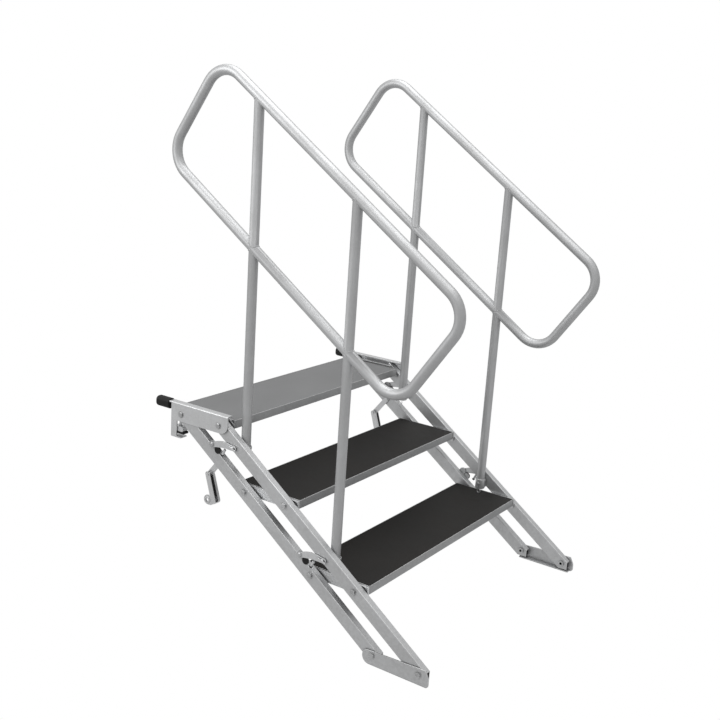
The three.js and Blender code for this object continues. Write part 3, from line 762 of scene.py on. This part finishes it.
def make_handrails():
    for label, side in SIDES:
        x = side * RAIL_X
        front, rear = RAIL_FRONT - RAIL_BEND, RAIL_REAR + RAIL_BEND
        low, high = RAIL_BOTTOM + RAIL_BEND, RAIL_TOP - RAIL_BEND
        route = (bend_points(x, front, low, -90) + bend_points(x, front, high, 0)
                 + bend_points(x, rear, high, 90) + bend_points(x, rear, low, 180))
        loop = swept_tube(route, TUBE_RADIUS, sides=40, closed=True)
        posts, points, edges = [], [], []
        for index, offset in enumerate(POST_OFFSETS):
            foot = Vector((x, TOP_PIVOT.y + offset, socket_top(index) - SOCKET_HIGH + 4 * MM))
            head = on_rail(x, rail_crossing(offset, RAIL_TOP), RAIL_TOP)
            knee = on_rail(x, rail_crossing(offset, RAIL_BOTTOM), RAIL_BOTTOM)
            posts.append(turned([(0, POST_RADIUS), (head.z - foot.z, POST_RADIUS)], foot, (0, 0, 1), 40))
            for place, lower in ((head, True), (knee, True), (knee, False)):
                ring = saddle_line(place, lower)
                start = len(points)
                points += ring
                edges += [(start + step, start + (step + 1) % len(ring)) for step in range(len(ring))]
        frame_piece = smooth(combine(loop, joined=posts), 50)
        replaced = [f"{label}_{part}" for part in ("handrail_loop", "knee_rail", "upper_post", "lower_post")]
        hand_over(frame_piece, f"{label}_handrail_frame", f"{label}_handrail", TUBE_SILVER,
                  replaced)
        beads = run_tree(WELD_TREE, carrier_of(points, edges), Bead_Radius=1.7 * MM, Finish=TUBE_SILVER)
        hand_over(smooth(beads, 60), f"{label}_handrail_welds", f"{label}_handrail",
                  TUBE_SILVER)


def make_sockets():
    """A collar and cup on the stringer's inner face for each post, with its clamping screw and clip."""
    for label, side in SIDES:
        for index, offset in enumerate(POST_OFFSETS):
            place = ("upper", "lower")[index]
            y = TOP_PIVOT.y + offset
            top = socket_top(index)
            x = side * RAIL_X
            outside = [(0, SOCKET_RADIUS - 1.5 * MM), (1.5 * MM, SOCKET_RADIUS),
                       (SOCKET_HIGH - 9 * MM, SOCKET_RADIUS),
                       (SOCKET_HIGH - 8 * MM, SOCKET_RADIUS + 0.8 * MM),
                       (SOCKET_HIGH - 1 * MM, SOCKET_RADIUS + 0.8 * MM), (SOCKET_HIGH, SOCKET_RADIUS)]
            cup = turned(outside, (x, y, top - SOCKET_HIGH), (0, 0, 1), 48)
            bore = turned([(0, SOCKET_BORE), (SOCKET_HIGH, SOCKET_BORE)], (x, y, top - SOCKET_HIGH + 3 * MM),
                          (0, 0, 1), 48)
            pad_x = layer(side, RAIL_X + SOCKET_RADIUS - 4 * MM, STRINGER_NEAR)
            pad_z = (top - SOCKET_HIGH + 3 * MM, top - 10 * MM)
            pad = block(pad_x, (y - 16 * MM, y + 16 * MM), pad_z, 0.8 * MM)
            screw_x = layer(side, RAIL_X - SOCKET_RADIUS - 5 * MM, RAIL_X - SOCKET_BORE + 1 * MM)
            screw = cross_rod(4.2 * MM, (y, top - 17 * MM), *screw_x, sides=24)
            boss_x = layer(side, RAIL_X - SOCKET_RADIUS - 1.6 * MM, RAIL_X - SOCKET_BORE - 0.6 * MM)
            boss = cross_rod(7.5 * MM, (y, top - 17 * MM), *boss_x, sides=6)
            socket = smooth(combine(cup, joined=(pad, boss, screw), cut=(bore,)))
            hand_over(socket, f"{label}_{place}_post_cup", "upper_stringers", BRIGHT_ZINC,
                      [f"{label}_{place}_post_socket"])
            clip = [Vector((x - side * (SOCKET_RADIUS + 3 * MM), y, top - 20 * MM))]
            hook_centre, hook_turn = (y - 7 * MM, top - 44 * MM), -1.25 * math.pi
            for spot in circle_points(hook_centre, 7 * MM, 0, hook_turn, 14, whole=False):
                clip.append(Vector((clip[0].x, spot.x, spot.y)))
            wire = smooth(swept_tube(clip, 1.3 * MM, sides=12), 60)
            hand_over(wire, f"{label}_{place}_post_clip", "upper_stringers", BRIGHT_ZINC)


# ------------------------------------------------------------------ stringers


def foot_cutters(pivot, x_range, inset=0.0):
    low, high = x_range[0] - MM, x_range[1] + MM
    front = pivot.x - FOOT_TRIM_FRONT + inset
    below = pivot.y - FOOT_TRIM_BELOW + inset
    spare = FOOT_TRIM_SPARE
    return [block((low, high), (pivot.x - spare, front), (pivot.y - spare, pivot.y + spare)),
            block((low, high), (pivot.x - spare, pivot.x + spare), (pivot.y - spare, below))]


def stringer_bar(x_range, inset, radius, start, end, centre, rear):
    outline = rounded_rectangle(x_range[0] + inset, x_range[1] - inset, centre - STRINGER_DEEP / 2 + inset,
                                centre + STRINGER_DEEP / 2 - inset, radius)

    def along(point, station):
        place = on_slope(station, point[1], rear)
        return Vector((point[0], place.x, place.y))

    return prism(outline, start, end, along)


ARM_SPACING = 471.7 * MM
ARM_NEAR, ARM_FAR = (20 * MM, -72 * MM), (89 * MM, -14 * MM)   # along and above the upper stringer's line
ARM_END = 8.5 * MM
BUMPER_PLACE, BUMPER_RADIUS = (46 * MM, -73 * MM), 13 * MM
BUMPER_RISE = OUTER_NEAR - STRINGER_FAR + 2.6 * MM


def make_stringers():
    finish_end = STRINGER_LENGTH + FOOT_TRIM_SPARE
    for label, side in SIDES:
        x_range = layer(side, STRINGER_NEAR, STRINGER_FAR)
        wall_x = layer(side, STRINGER_FAR - STRINGER_WALL, STRINGER_FAR + 0.6 * MM)
        for rear in (False, True):
            centre = LOWER_CENTRE if rear else UPPER_CENTRE
            kind = "lower" if rear else "upper"
            bar = stringer_bar(x_range, 0, STRINGER_CORNER, STRINGER_START, finish_end, centre, rear)
            bore = stringer_bar(x_range, STRINGER_WALL, STRINGER_BORE_CORNER, STRINGER_START - MM,
                                finish_end + MM, centre, rear)
            pivot = (REAR_PIVOTS if rear else FRONT_PIVOTS)[3]
            joined = []
            for shift in (0, ARM_SPACING):
                if rear:
                    stud = on_slope(ARM_NEAR[0] + shift, ARM_NEAR[1])
                    root = on_slope(ARM_NEAR[0] + shift, ARM_NEAR[1] - 14 * MM)
                    joined.append(prism(round_bar(stud, root, 13 * MM), *wall_x, soft=0.5 * MM))
                    rest = on_slope(BUMPER_PLACE[0] + shift, BUMPER_PLACE[1])
                    root = on_slope(BUMPER_PLACE[0] + shift, BUMPER_PLACE[1] - 18 * MM)
                    joined.append(prism(round_bar(rest, root, 11 * MM), *wall_x, soft=0.5 * MM))
                else:
                    stud = on_slope(ARM_FAR[0] + shift, ARM_FAR[1])
                    joined.append(cross_rod(9 * MM, stud, *wall_x))
            tube = combine(bar, joined=joined, cut=[bore, *foot_cutters(pivot, x_range)])
            hand_over(smooth(tube), f"{label}_{kind}_stringer_tube",
                      "lower_stringers" if rear else "upper_stringers", GALVANISED,
                      [f"{label}_{kind}_stringer"])
            plug = stringer_bar(x_range, STRINGER_WALL + 0.1 * MM, STRINGER_BORE_CORNER,
                                STRINGER_LENGTH - 18 * MM, finish_end, centre, rear)
            plug = combine(plug, cut=foot_cutters(pivot, x_range, inset=2.5 * MM))
            hand_over(smooth(plug), f"{label}_{kind}_stringer_plug",
                      "lower_stringers" if rear else "upper_stringers", RUBBER)
            cap = stringer_bar(x_range, STRINGER_WALL + 0.1 * MM, STRINGER_BORE_CORNER,
                               STRINGER_START + 1.5 * MM, STRINGER_START + 14 * MM, centre, rear)
            hand_over(smooth(soften(cap, 0.5 * MM)), f"{label}_{kind}_stringer_top_plug",
                      "lower_stringers" if rear else "upper_stringers", RUBBER)


# ------------------------------------------------------------------ treads and their end plates
TREAD_DEEP, TREAD_HIGH = 250 * MM, 28 * MM
TREAD_FRONT, TREAD_TOP = -37.5 * MM, 17.7 * MM
TREAD_RIM, TREAD_LEDGE, BOARD_THICK = 2.2 * MM, 16 * MM, 18 * MM
TREAD_HALF = PLATE_NEAR - 0.3 * MM


def make_treads():
    for index, tread in enumerate(TREADS):
        pivot = FRONT_PIVOTS[index]
        front, rear = pivot.x + TREAD_FRONT, pivot.x + TREAD_FRONT + TREAD_DEEP
        top = pivot.y + TREAD_TOP

        def plan(inset, radius):
            return rounded_rectangle(-TREAD_HALF + inset, TREAD_HALF - inset, front + inset, rear - inset,
                                     radius)

        tray = prism(plan(0, 6 * MM), top - TREAD_HIGH, top, plan_view, soft=0.8 * MM)
        seat = prism(plan(TREAD_RIM, 4.5 * MM), top - BOARD_THICK - 0.2 * MM, top + MM, plan_view)
        under = prism(plan(3 * MM, 3 * MM), top - TREAD_HIGH - MM, top - BOARD_THICK - 3 * MM, plan_view)
        window = prism(plan(TREAD_RIM + TREAD_LEDGE, 3 * MM), top - TREAD_HIGH, top, plan_view)
        ribs = [block((middle - 15 * MM, middle + 15 * MM), (front + 2 * MM, rear - 2 * MM),
                      (top - TREAD_HIGH, top - BOARD_THICK - 0.4 * MM))
                for middle in (-240 * MM, 0, 240 * MM)]
        tray = combine(combine(tray, cut=(seat, under, window)), joined=ribs)
        hand_over(smooth(tray), f"{tread}_tread_tray", f"{tread}_step", TREAD_STEEL,
                  [f"{tread}_tread_frame"])
        board = prism(plan(TREAD_RIM + 0.3 * MM, 4 * MM), top - BOARD_THICK, top - 0.4 * MM, plan_view)
        # The top board gets the lighter grey tone, which is partly painted sheen.
        hand_over(smooth(soften(board, 0.8 * MM)), f"{tread}_tread_panel", f"{tread}_step",
                  GREY_BOARD_WITH_SHEEN if tread == "top" else DARK_BOARD, [f"{tread}_tread_board"])


def make_end_plates():
    for index, tread in enumerate(TREADS):
        pivot = FRONT_PIVOTS[index]
        front, rear = pivot.x + TREAD_FRONT, pivot.x + LINK + 22 * MM
        low = pivot.y - 20 * MM
        if index == 0:
            high = pivot.y + 24 * MM
            corners = [(front, low, 4 * MM), (rear, low, 18 * MM), (rear, high, 3 * MM),
                       (pivot.x - 12 * MM, high, 3 * MM), (front, pivot.y + 4 * MM, 2 * MM)]
        else:
            high = pivot.y + 16 * MM
            corners = [(front, low, 4 * MM), (rear, low, 18 * MM),
                       (rear, high, 17 * MM), (front, high, 3 * MM)]
        for label, side in SIDES:
            plate = prism(rounded_outline(corners), *layer(side, PLATE_NEAR, PLATE_FAR), soft=0.8 * MM)
            joined = []
            if index == 0:
                lip_x = layer(side, PLATE_FAR - 10 * MM, PLATE_FAR)
                joined.append(block(lip_x, (pivot.x - 8 * MM, pivot.x + LINK + 18 * MM),
                                    (high - 2.5 * MM, high), 0.6 * MM))
            else:
                flange_x = layer(side, PLATE_NEAR, STRINGER_NEAR - MM)
                joined.append(block(flange_x, (front, front + 2.5 * MM), (low + 2 * MM, high), 0.6 * MM))
                joined.append(block(flange_x, (front, front + 60 * MM), (high - 2.5 * MM, high), 0.6 * MM))
            plate = combine(plate, joined=joined)
            hand_over(smooth(plate), f"{label}_{tread}_hanger_plate", f"{tread}_step",
                      TREAD_STEEL if index == 0 else BRIGHT_ZINC, [f"{label}_{tread}_end_plate"])


# ------------------------------------------------------------------ stage brackets, caps and jaws


def edge_cutter(side, corner_z, radius, start, end):
    """What rounds the outer top edge of a folded bracket, along Y."""
    x, sign = side * OUTER_FAR, side
    outline = [Vector((x + sign * MM, corner_z + MM)), Vector((x + sign * MM, corner_z - radius))]
    for step in range(9):
        angle = math.radians(90 * step / 8)
        outline.append(Vector((x - sign * radius * (1 - math.cos(angle)),
                               corner_z - radius * (1 - math.sin(angle)))))
    outline.append(Vector((x - sign * radius, corner_z + MM)))
    return prism(outline, start, end, end_view)


def make_stage_brackets():
    front, rear, leg_front = -40 * MM, 213 * MM, 187 * MM
    top, bottom, leg_bottom = 38 * MM, -25 * MM, -85 * MM
    thick = OUTER_FAR - OUTER_NEAR
    for label, side in SIDES:
        corners = [(front, bottom, 32 * MM), (leg_front, bottom, 4 * MM), (leg_front, leg_bottom, 1 * MM),
                   (rear, leg_bottom, 4 * MM), (rear, top, 3 * MM), (front, top, 3 * MM)]
        outline = [TOP_PIVOT.yz + point for point in rounded_outline(corners, 10)]
        web = prism(outline, *layer(side, OUTER_NEAR, OUTER_FAR), soft=0.7 * MM)
        flange_x = layer(side, OUTER_FAR - 25 * MM, OUTER_FAR)
        hook_x = layer(side, 500.5 * MM, OUTER_FAR)
        y, z = TOP_PIVOT.y, TOP_PIVOT.z
        flange = block(flange_x, (y + front + 2 * MM, y + 277 * MM), (z + top - thick, z + top), 0.7 * MM)
        hook = block(hook_x, (y + rear - 45 * MM, y + rear - 2 * MM),
                     (z + leg_bottom, z + leg_bottom + thick), 0.7 * MM)
        folded = combine(web, joined=(flange, hook))
        folded = combine(folded, cut=(edge_cutter(side, z + top, 4 * MM, y + front - MM, y + 278 * MM),))
        hand_over(smooth(folded), f"{label}_stage_hook", "top_step", BRIGHT_ZINC,
                  [f"{label}_stage_bracket"])
        jaw_x = layer(side, 500.5 * MM, OUTER_NEAR - 0.3 * MM)
        jaw = prism([TOP_PIVOT.yz + point for point in rounded_outline([
            (163 * MM, -63 * MM, 4 * MM), (205 * MM, -63 * MM, 1 * MM), (205 * MM, -46 * MM, 1 * MM),
            (163 * MM, -46 * MM, 4 * MM)])], *jaw_x, soft=0.8 * MM)
        screw_foot = (side * 513 * MM, y + 184 * MM, z - 48 * MM)
        screw = turned([(0, 5 * MM), (20 * MM, 5 * MM)], screw_foot, (0, 0, 1))
        hand_over(smooth(combine(jaw, joined=(screw,))), f"{label}_jaw_block", "top_step",
                  BRIGHT_ZINC, [f"{label}_clamp_jaw"])
        pad = block(jaw_x, (y + 160 * MM, y + 204 * MM), (z - 71 * MM, z - 63.2 * MM), 1.2 * MM)
        hand_over(smooth(pad), f"{label}_jaw_pad", "top_step", RUBBER)


def make_rubber_caps():
    near, far, bottom, top, corner = 503 * MM, 536 * MM, 7 * MM, 43 * MM, 14 * MM
    start, end, end_round, lip_round = 223 * MM, 285 * MM, 9 * MM, 2 * MM
    profile = [(start, lip_round), (start + lip_round, 0.0)]
    for step in range(9):
        angle = math.radians(90 * step / 8)
        profile.append((end - end_round + end_round * math.sin(angle), end_round * (1 - math.cos(angle))))
    for label, side in SIDES:
        low, high = layer(side, near, far)
        rings = []
        for along, inset in profile:
            ring = rounded_rectangle(low + inset, high - inset, bottom + inset, top - inset,
                                     corner - inset, 7)
            rings.append([Vector((point.x, TOP_PIVOT.y + along, TOP_PIVOT.z + point.y)) for point in ring])
        hand_over(smooth(loft(rings), 50), f"{label}_bracket_cap", "top_step", RUBBER,
                  [f"{label}_rubber_cap"])


# ------------------------------------------------------------------ foot plates


def make_foot_plates():
    pivot = FRONT_PIVOTS[3]
    for label, side in SIDES:
        outline = rounded_outline([(pivot.x - 37 * MM, 0, 10 * MM), (pivot.x + 203 * MM, 0, 25 * MM),
                                   (pivot.x + 203 * MM, pivot.y + 13 * MM, 20 * MM),
                                   (pivot.x - 24 * MM, pivot.y + 22 * MM, 3 * MM),
                                   (pivot.x - 36.5 * MM, pivot.y - 3 * MM, 4 * MM)], 10)
        web = prism(outline, *layer(side, OUTER_NEAR, OUTER_FAR), soft=0.9 * MM)
        lip_x = layer(side, OUTER_FAR - 25 * MM, OUTER_FAR - 1 * MM)
        lip = block(lip_x, (pivot.x - 26 * MM, pivot.x + 177 * MM),
                    (0.05 * MM, OUTER_FAR - OUTER_NEAR), 0.9 * MM)
        hand_over(smooth(combine(web, joined=(lip,))), f"{label}_foot_shoe", f"{label}_foot",
                  GALVANISED, [f"{label}_foot_plate"])


# ------------------------------------------------------------------ locking arms


def arm_outline(near, far, hump, waist):
    """A bar with round ends that arches over on its upper edge and is waisted on its lower one."""
    along = (far - near).normalized()
    up = Vector((-along.y, along.x))
    if up.y < 0:
        up = -up
    length = (far - near).length
    angle = math.atan2(along.y, along.x)
    quarter, end_steps, edge_steps = math.pi / 2, 12, 10
    far_end = half_round(far + along * 5 * MM, ARM_END, angle - quarter, end_steps)
    near_end = half_round(near, ARM_END, angle + quarter, end_steps)
    up_first = (far_end[0] - far).dot(up) > 0

    def edge(sign, swell, backwards):
        line = []
        for step in range(1, edge_steps):
            share = step / edge_steps
            place = (1 - share) if backwards else share
            line.append(near + along * length * place
                        + up * sign * (ARM_END + swell * math.sin(math.pi * place)))
        return line

    if up_first:
        return far_end + edge(-1, waist, True) + near_end + edge(1, hump, False)
    return far_end + edge(1, hump, True) + near_end + edge(-1, waist, False)


def make_locking_arms():
    for label, side in SIDES:
        for index in (0, 1):
            shift = index * ARM_SPACING
            place = ("upper", "lower")[index]
            near = on_slope(ARM_NEAR[0] + shift, ARM_NEAR[1])
            far = on_slope(ARM_FAR[0] + shift, ARM_FAR[1])
            bar_x = layer(side, OUTER_NEAR + 0.8 * MM, OUTER_FAR)
            bar = prism(arm_outline(near, far, 9 * MM, -3.5 * MM), *bar_x, soft=0.8 * MM)
            slot_x = layer(side, OUTER_NEAR - MM, OUTER_FAR + MM)
            along = (far - near).normalized()
            slot = prism(round_bar(far - along * 5 * MM, far + along * 6 * MM, 4.8 * MM), *slot_x)
            outward = AXIS_X * side
            arm = smooth(combine(bar, cut=(slot,)))
            body = f"{label}_{place}_arm"
            hand_over(arm, f"{label}_{place}_latch_arm", body, BRIGHT_ZINC,
                      [f"{label}_{place}_locking_arm"])
            base = Vector((side * (OUTER_NEAR - 0.4 * MM), near.x, near.y))
            dome = [(0, 11.5 * MM), (5.6 * MM, 11.5 * MM), (5.7 * MM, 8.4 * MM), (7.4 * MM, 8.2 * MM),
                    (8.8 * MM, 7.0 * MM), (9.8 * MM, 5.0 * MM), (10.4 * MM, 1.5 * MM)]
            hand_over(smooth(turned(dome, base, outward, 40), 35), f"{label}_{place}_latch_hub", body,
                      BOLT_STEEL)
            knob_base = Vector((side * (OUTER_NEAR - 0.6 * MM), far.x, far.y))
            knob = turned([(0, 3.4 * MM), (5.7 * MM, 3.4 * MM), (5.8 * MM, 6.5 * MM), (9.5 * MM, 5.6 * MM),
                           (10.6 * MM, 3.5 * MM)], knob_base, outward, 32)
            wing_x = layer(side, OUTER_FAR + 0.8 * MM, OUTER_FAR + 5.2 * MM)
            wings = []
            for turn in (0.35, 0.35 + math.pi):
                reach = Vector((math.cos(turn), math.sin(turn)))
                wing = round_bar(far + reach * 3 * MM, far + reach * 12.5 * MM, 3.4 * MM)
                wings.append(prism(wing, *wing_x, soft=0.7 * MM))
            hand_over(smooth(combine(knob, joined=wings)), f"{label}_{place}_wing_screw",
                      "upper_stringers", BRIGHT_ZINC)
            bumper = on_slope(BUMPER_PLACE[0] + shift, BUMPER_PLACE[1])
            profile = [(0, BUMPER_RADIUS), (BUMPER_RISE - MM, BUMPER_RADIUS),
                       (BUMPER_RISE, BUMPER_RADIUS - MM)]
            rest = turned(profile, Vector((side * (STRINGER_FAR - 2 * MM), bumper.x, bumper.y)), outward, 40)
            hand_over(smooth(rest), f"{label}_{place}_arm_bumper", "lower_stringers", RUBBER)
            pin_top = near.lerp(far, 0.72) - OFF * 11 * MM
            start = Vector((side * (OUTER_FAR + 0.2 * MM), pin_top.x, pin_top.y))
            lean = Vector((0, -OFF.x * 0.9, -1.0))
            pin = turned([(0, 4.6 * MM), (23 * MM, 4.6 * MM), (24 * MM, 3.8 * MM)], start, lean, 28)
            hand_over(smooth(pin, 35), f"{label}_{place}_stop_pin", body, BRIGHT_ZINC)
            sleeve = turned([(0, 5.4 * MM), (4 * MM, 5.4 * MM), (5 * MM, 4.6 * MM)],
                            start + lean.normalized() * 21 * MM, lean, 28)
            hand_over(smooth(sleeve, 35), f"{label}_{place}_stop_sleeve", body, RUBBER)


# ------------------------------------------------------------------ tie struts


def make_tie_struts():
    knee, foot = from_top(60 * MM, -190 * MM), from_top(31 * MM, -280 * MM)
    pin_place, eye = from_top(5 * MM, -121 * MM), from_top(56 * MM, -280 * MM)
    for label, side in SIDES:
        link_x = layer(side, STRINGER_NEAR - 6 * MM, STRINGER_NEAR - MM)
        head_x = layer(side, STRINGER_NEAR - 9 * MM, STRINGER_NEAR + 2 * MM)
        link = prism(round_bar(pin_place, knee, 10 * MM), *link_x, soft=0.7 * MM)
        link = combine(link, joined=(cross_rod(5.5 * MM, pin_place, *head_x),))
        hand_over(smooth(link), f"{label}_strut_link", f"{label}_tie_upper", BRIGHT_ZINC,
                  [f"{label}_tie_upper_link"])
        half, wall = 10 * MM, 2.2 * MM
        outer_x = layer(side, 484 * MM, 510 * MM)
        channel = prism(round_bar(foot, knee, half), *outer_x, soft=0.8 * MM)
        upward = (knee - foot).normalized()
        back = Vector((upward.y, -upward.x))

        def on_channel(base, up, out):
            return base + upward * up + back * out

        hollow = [on_channel(foot, -5 * MM, half - wall), on_channel(knee, 2 * half, half - wall),
                  on_channel(knee, 2 * half, -2 * half), on_channel(foot, -5 * MM, -2 * half)]
        hollow = prism(hollow, *layer(side, 494.5 * MM, 507.8 * MM))
        channel = combine(channel, cut=(hollow,))
        ring_x = layer(side, 506 * MM, 510 * MM)
        ring = prism(round_bar(eye, foot + Vector((15 * MM, 0)), 17 * MM), *ring_x, soft=0.6 * MM)
        bore = cross_rod(7 * MM, eye, ring_x[0] - MM, ring_x[1] + MM)
        rivet = cross_rod(5 * MM, knee, *layer(side, 482 * MM, 512 * MM))
        channel = combine(channel, joined=(ring, rivet), cut=(bore,))
        hand_over(smooth(channel), f"{label}_strut_channel", f"{label}_tie_lower",
                  BRIGHT_ZINC, [f"{label}_tie_lower_link"])
        deep, open_side = half - wall - 0.2 * MM, 4 * MM - half
        strip = [on_channel(foot, 14 * MM, deep), on_channel(knee, -12 * MM, deep),
                 on_channel(knee, -12 * MM, open_side), on_channel(foot, 14 * MM, open_side)]
        strip = prism(strip, *layer(side, 494.7 * MM, 507.6 * MM), soft=0.5 * MM)
        hand_over(smooth(strip), f"{label}_strut_buffer", f"{label}_tie_lower", RUBBER)
        collar = turned([(0, 12 * MM), (2.5 * MM, 11 * MM), (4 * MM, 8.6 * MM)],
                        Vector((side * 509.8 * MM, eye.x, eye.y)), AXIS_X * side, 40)
        hole = cross_rod(7 * MM, eye, *layer(side, 505 * MM, 516 * MM))
        hand_over(smooth(combine(collar, cut=(hole,)), 35), f"{label}_strut_eye_collar", f"{label}_tie_lower",
                  BRIGHT_ZINC)


# ------------------------------------------------------------------ studio
CAMERA_PLACE = TOP_PIVOT + Vector((-2.985, -2.1889, 1.0842))
CAMERA_AZIMUTH = math.radians(-56.115)
CAMERA_DROP = math.radians(14.295)
CAMERA_ROLL = math.radians(3.81)
CAMERA_LENS = 52.29


def make_camera():
    data = bpy.data.cameras.new("camera")
    data.lens = CAMERA_LENS
    data.sensor_width = 36
    data.clip_start = 0.05
    data.clip_end = 100
    camera = bpy.data.objects.new("camera", data)
    bpy.context.collection.objects.link(camera)
    forward = Vector((-math.sin(CAMERA_AZIMUTH) * math.cos(CAMERA_DROP),
                      math.cos(CAMERA_AZIMUTH) * math.cos(CAMERA_DROP), -math.sin(CAMERA_DROP)))
    level = forward.cross(Vector((0, 0, 1))).normalized()
    upright = level.cross(forward)
    right = level * math.cos(CAMERA_ROLL) + upright * math.sin(CAMERA_ROLL)
    up = upright * math.cos(CAMERA_ROLL) - level * math.sin(CAMERA_ROLL)
    turn = Matrix((right, up, -forward)).transposed()
    camera.matrix_world = Matrix.Translation(CAMERA_PLACE) @ turn.to_4x4()
    bpy.context.scene.camera = camera


def stage_material(name, seen, lit):
    """A white surface that the camera sees at one brightness and that lights the object at another."""
    material = bpy.data.materials.new(name)
    material.use_nodes = True
    nodes, links = material.node_tree.nodes, material.node_tree.links
    nodes.clear()
    output = nodes.new("ShaderNodeOutputMaterial")
    blend = nodes.new("ShaderNodeMixShader")
    path = nodes.new("ShaderNodeLightPath")
    glow = nodes.new("ShaderNodeEmission")
    glow.inputs["Color"].default_value = (1, 1, 1, 1)
    glow.inputs["Strength"].default_value = lit
    plain = nodes.new("ShaderNodeEmission")
    plain.inputs["Color"].default_value = (1, 1, 1, 1)
    plain.inputs["Strength"].default_value = seen
    links.new(path.outputs["Is Camera Ray"], blend.inputs["Fac"])
    links.new(glow.outputs["Emission"], blend.inputs[1])
    links.new(plain.outputs["Emission"], blend.inputs[2])
    links.new(blend.outputs["Shader"], output.inputs["Surface"])
    return material


def make_floor_and_backdrop():
    """A round white cove: a level floor that turns up into a wall all the way round."""
    floor_radius, cove_radius, wall_top = 5.0, 2.0, 6.0
    profile = [(0, 0)]
    for step in range(13):
        angle = math.radians(-90 + 90 * step / 12)
        profile.append((floor_radius + cove_radius * math.cos(angle),
                        cove_radius + cove_radius * math.sin(angle)))
    profile.append((floor_radius + cove_radius, wall_top))
    turns = 64
    mesh = bpy.data.meshes.new("studio_cove")
    build = bmesh.new()
    rings = []
    for radius, height in profile[1:]:
        ring = []
        for turn in range(turns):
            angle = 2 * math.pi * turn / turns
            ring.append(build.verts.new((radius * math.cos(angle), radius * math.sin(angle), height)))
        rings.append(ring)
    build.faces.new(rings[0])
    for inner, outer in zip(rings, rings[1:]):
        for turn in range(turns):
            following = (turn + 1) % turns
            build.faces.new((inner[turn], outer[turn], outer[following], inner[following]))
    build.to_mesh(mesh)
    build.free()
    mesh.transform(Matrix.Translation((0, 0, -MM)))
    cove = bpy.data.objects.new("studio_cove", mesh)
    bpy.context.collection.objects.link(cove)
    for polygon in mesh.polygons:
        polygon.use_smooth = True
    mesh.materials.append(stage_material("studio_white", seen=1.0, lit=0.57))


def area_light(name, place, target, size, power):
    data = bpy.data.lights.new(name, "AREA")
    data.shape = "RECTANGLE"
    data.size, data.size_y = size
    data.energy = power
    light = bpy.data.objects.new(name, data)
    light.location = place
    light.rotation_mode = "QUATERNION"
    light.rotation_quaternion = (Vector(target) - Vector(place)).to_track_quat("-Z", "Y")
    bpy.context.collection.objects.link(light)
    light.visible_camera = False


def make_lights():
    """The soft lights, all aimed at the middle of the stair, and the white surroundings."""
    middle = (0, 0, 0.7)
    for name, place, size, power in (("overhead_softbox", (0.4, 0.3, 7.4), (5.6, 5.6), 235),
                                     ("left_softbox", (-3.2, 2.2, 2.6), (1.6, 2.4), 45),
                                     ("edge_light", (-4.2, -1.6, 6.0), (1.1, 1.1), 42)):
        area_light(name, place, middle, size, power)
    world = bpy.data.worlds.new("studio")
    world.use_nodes = True
    background = world.node_tree.nodes["Background"]
    background.inputs["Color"].default_value = (1, 1, 1, 1)
    background.inputs["Strength"].default_value = 0.8
    bpy.context.scene.world = world
    bpy.context.scene.view_settings.view_transform = "Standard"


make_camera()
make_floor_and_backdrop()
make_lights()
make_handrails()
make_sockets()
make_stringers()
make_treads()
make_end_plates()
make_stage_brackets()
make_rubber_caps()
make_foot_plates()
make_locking_arms()
make_tie_struts()
make_fasteners()
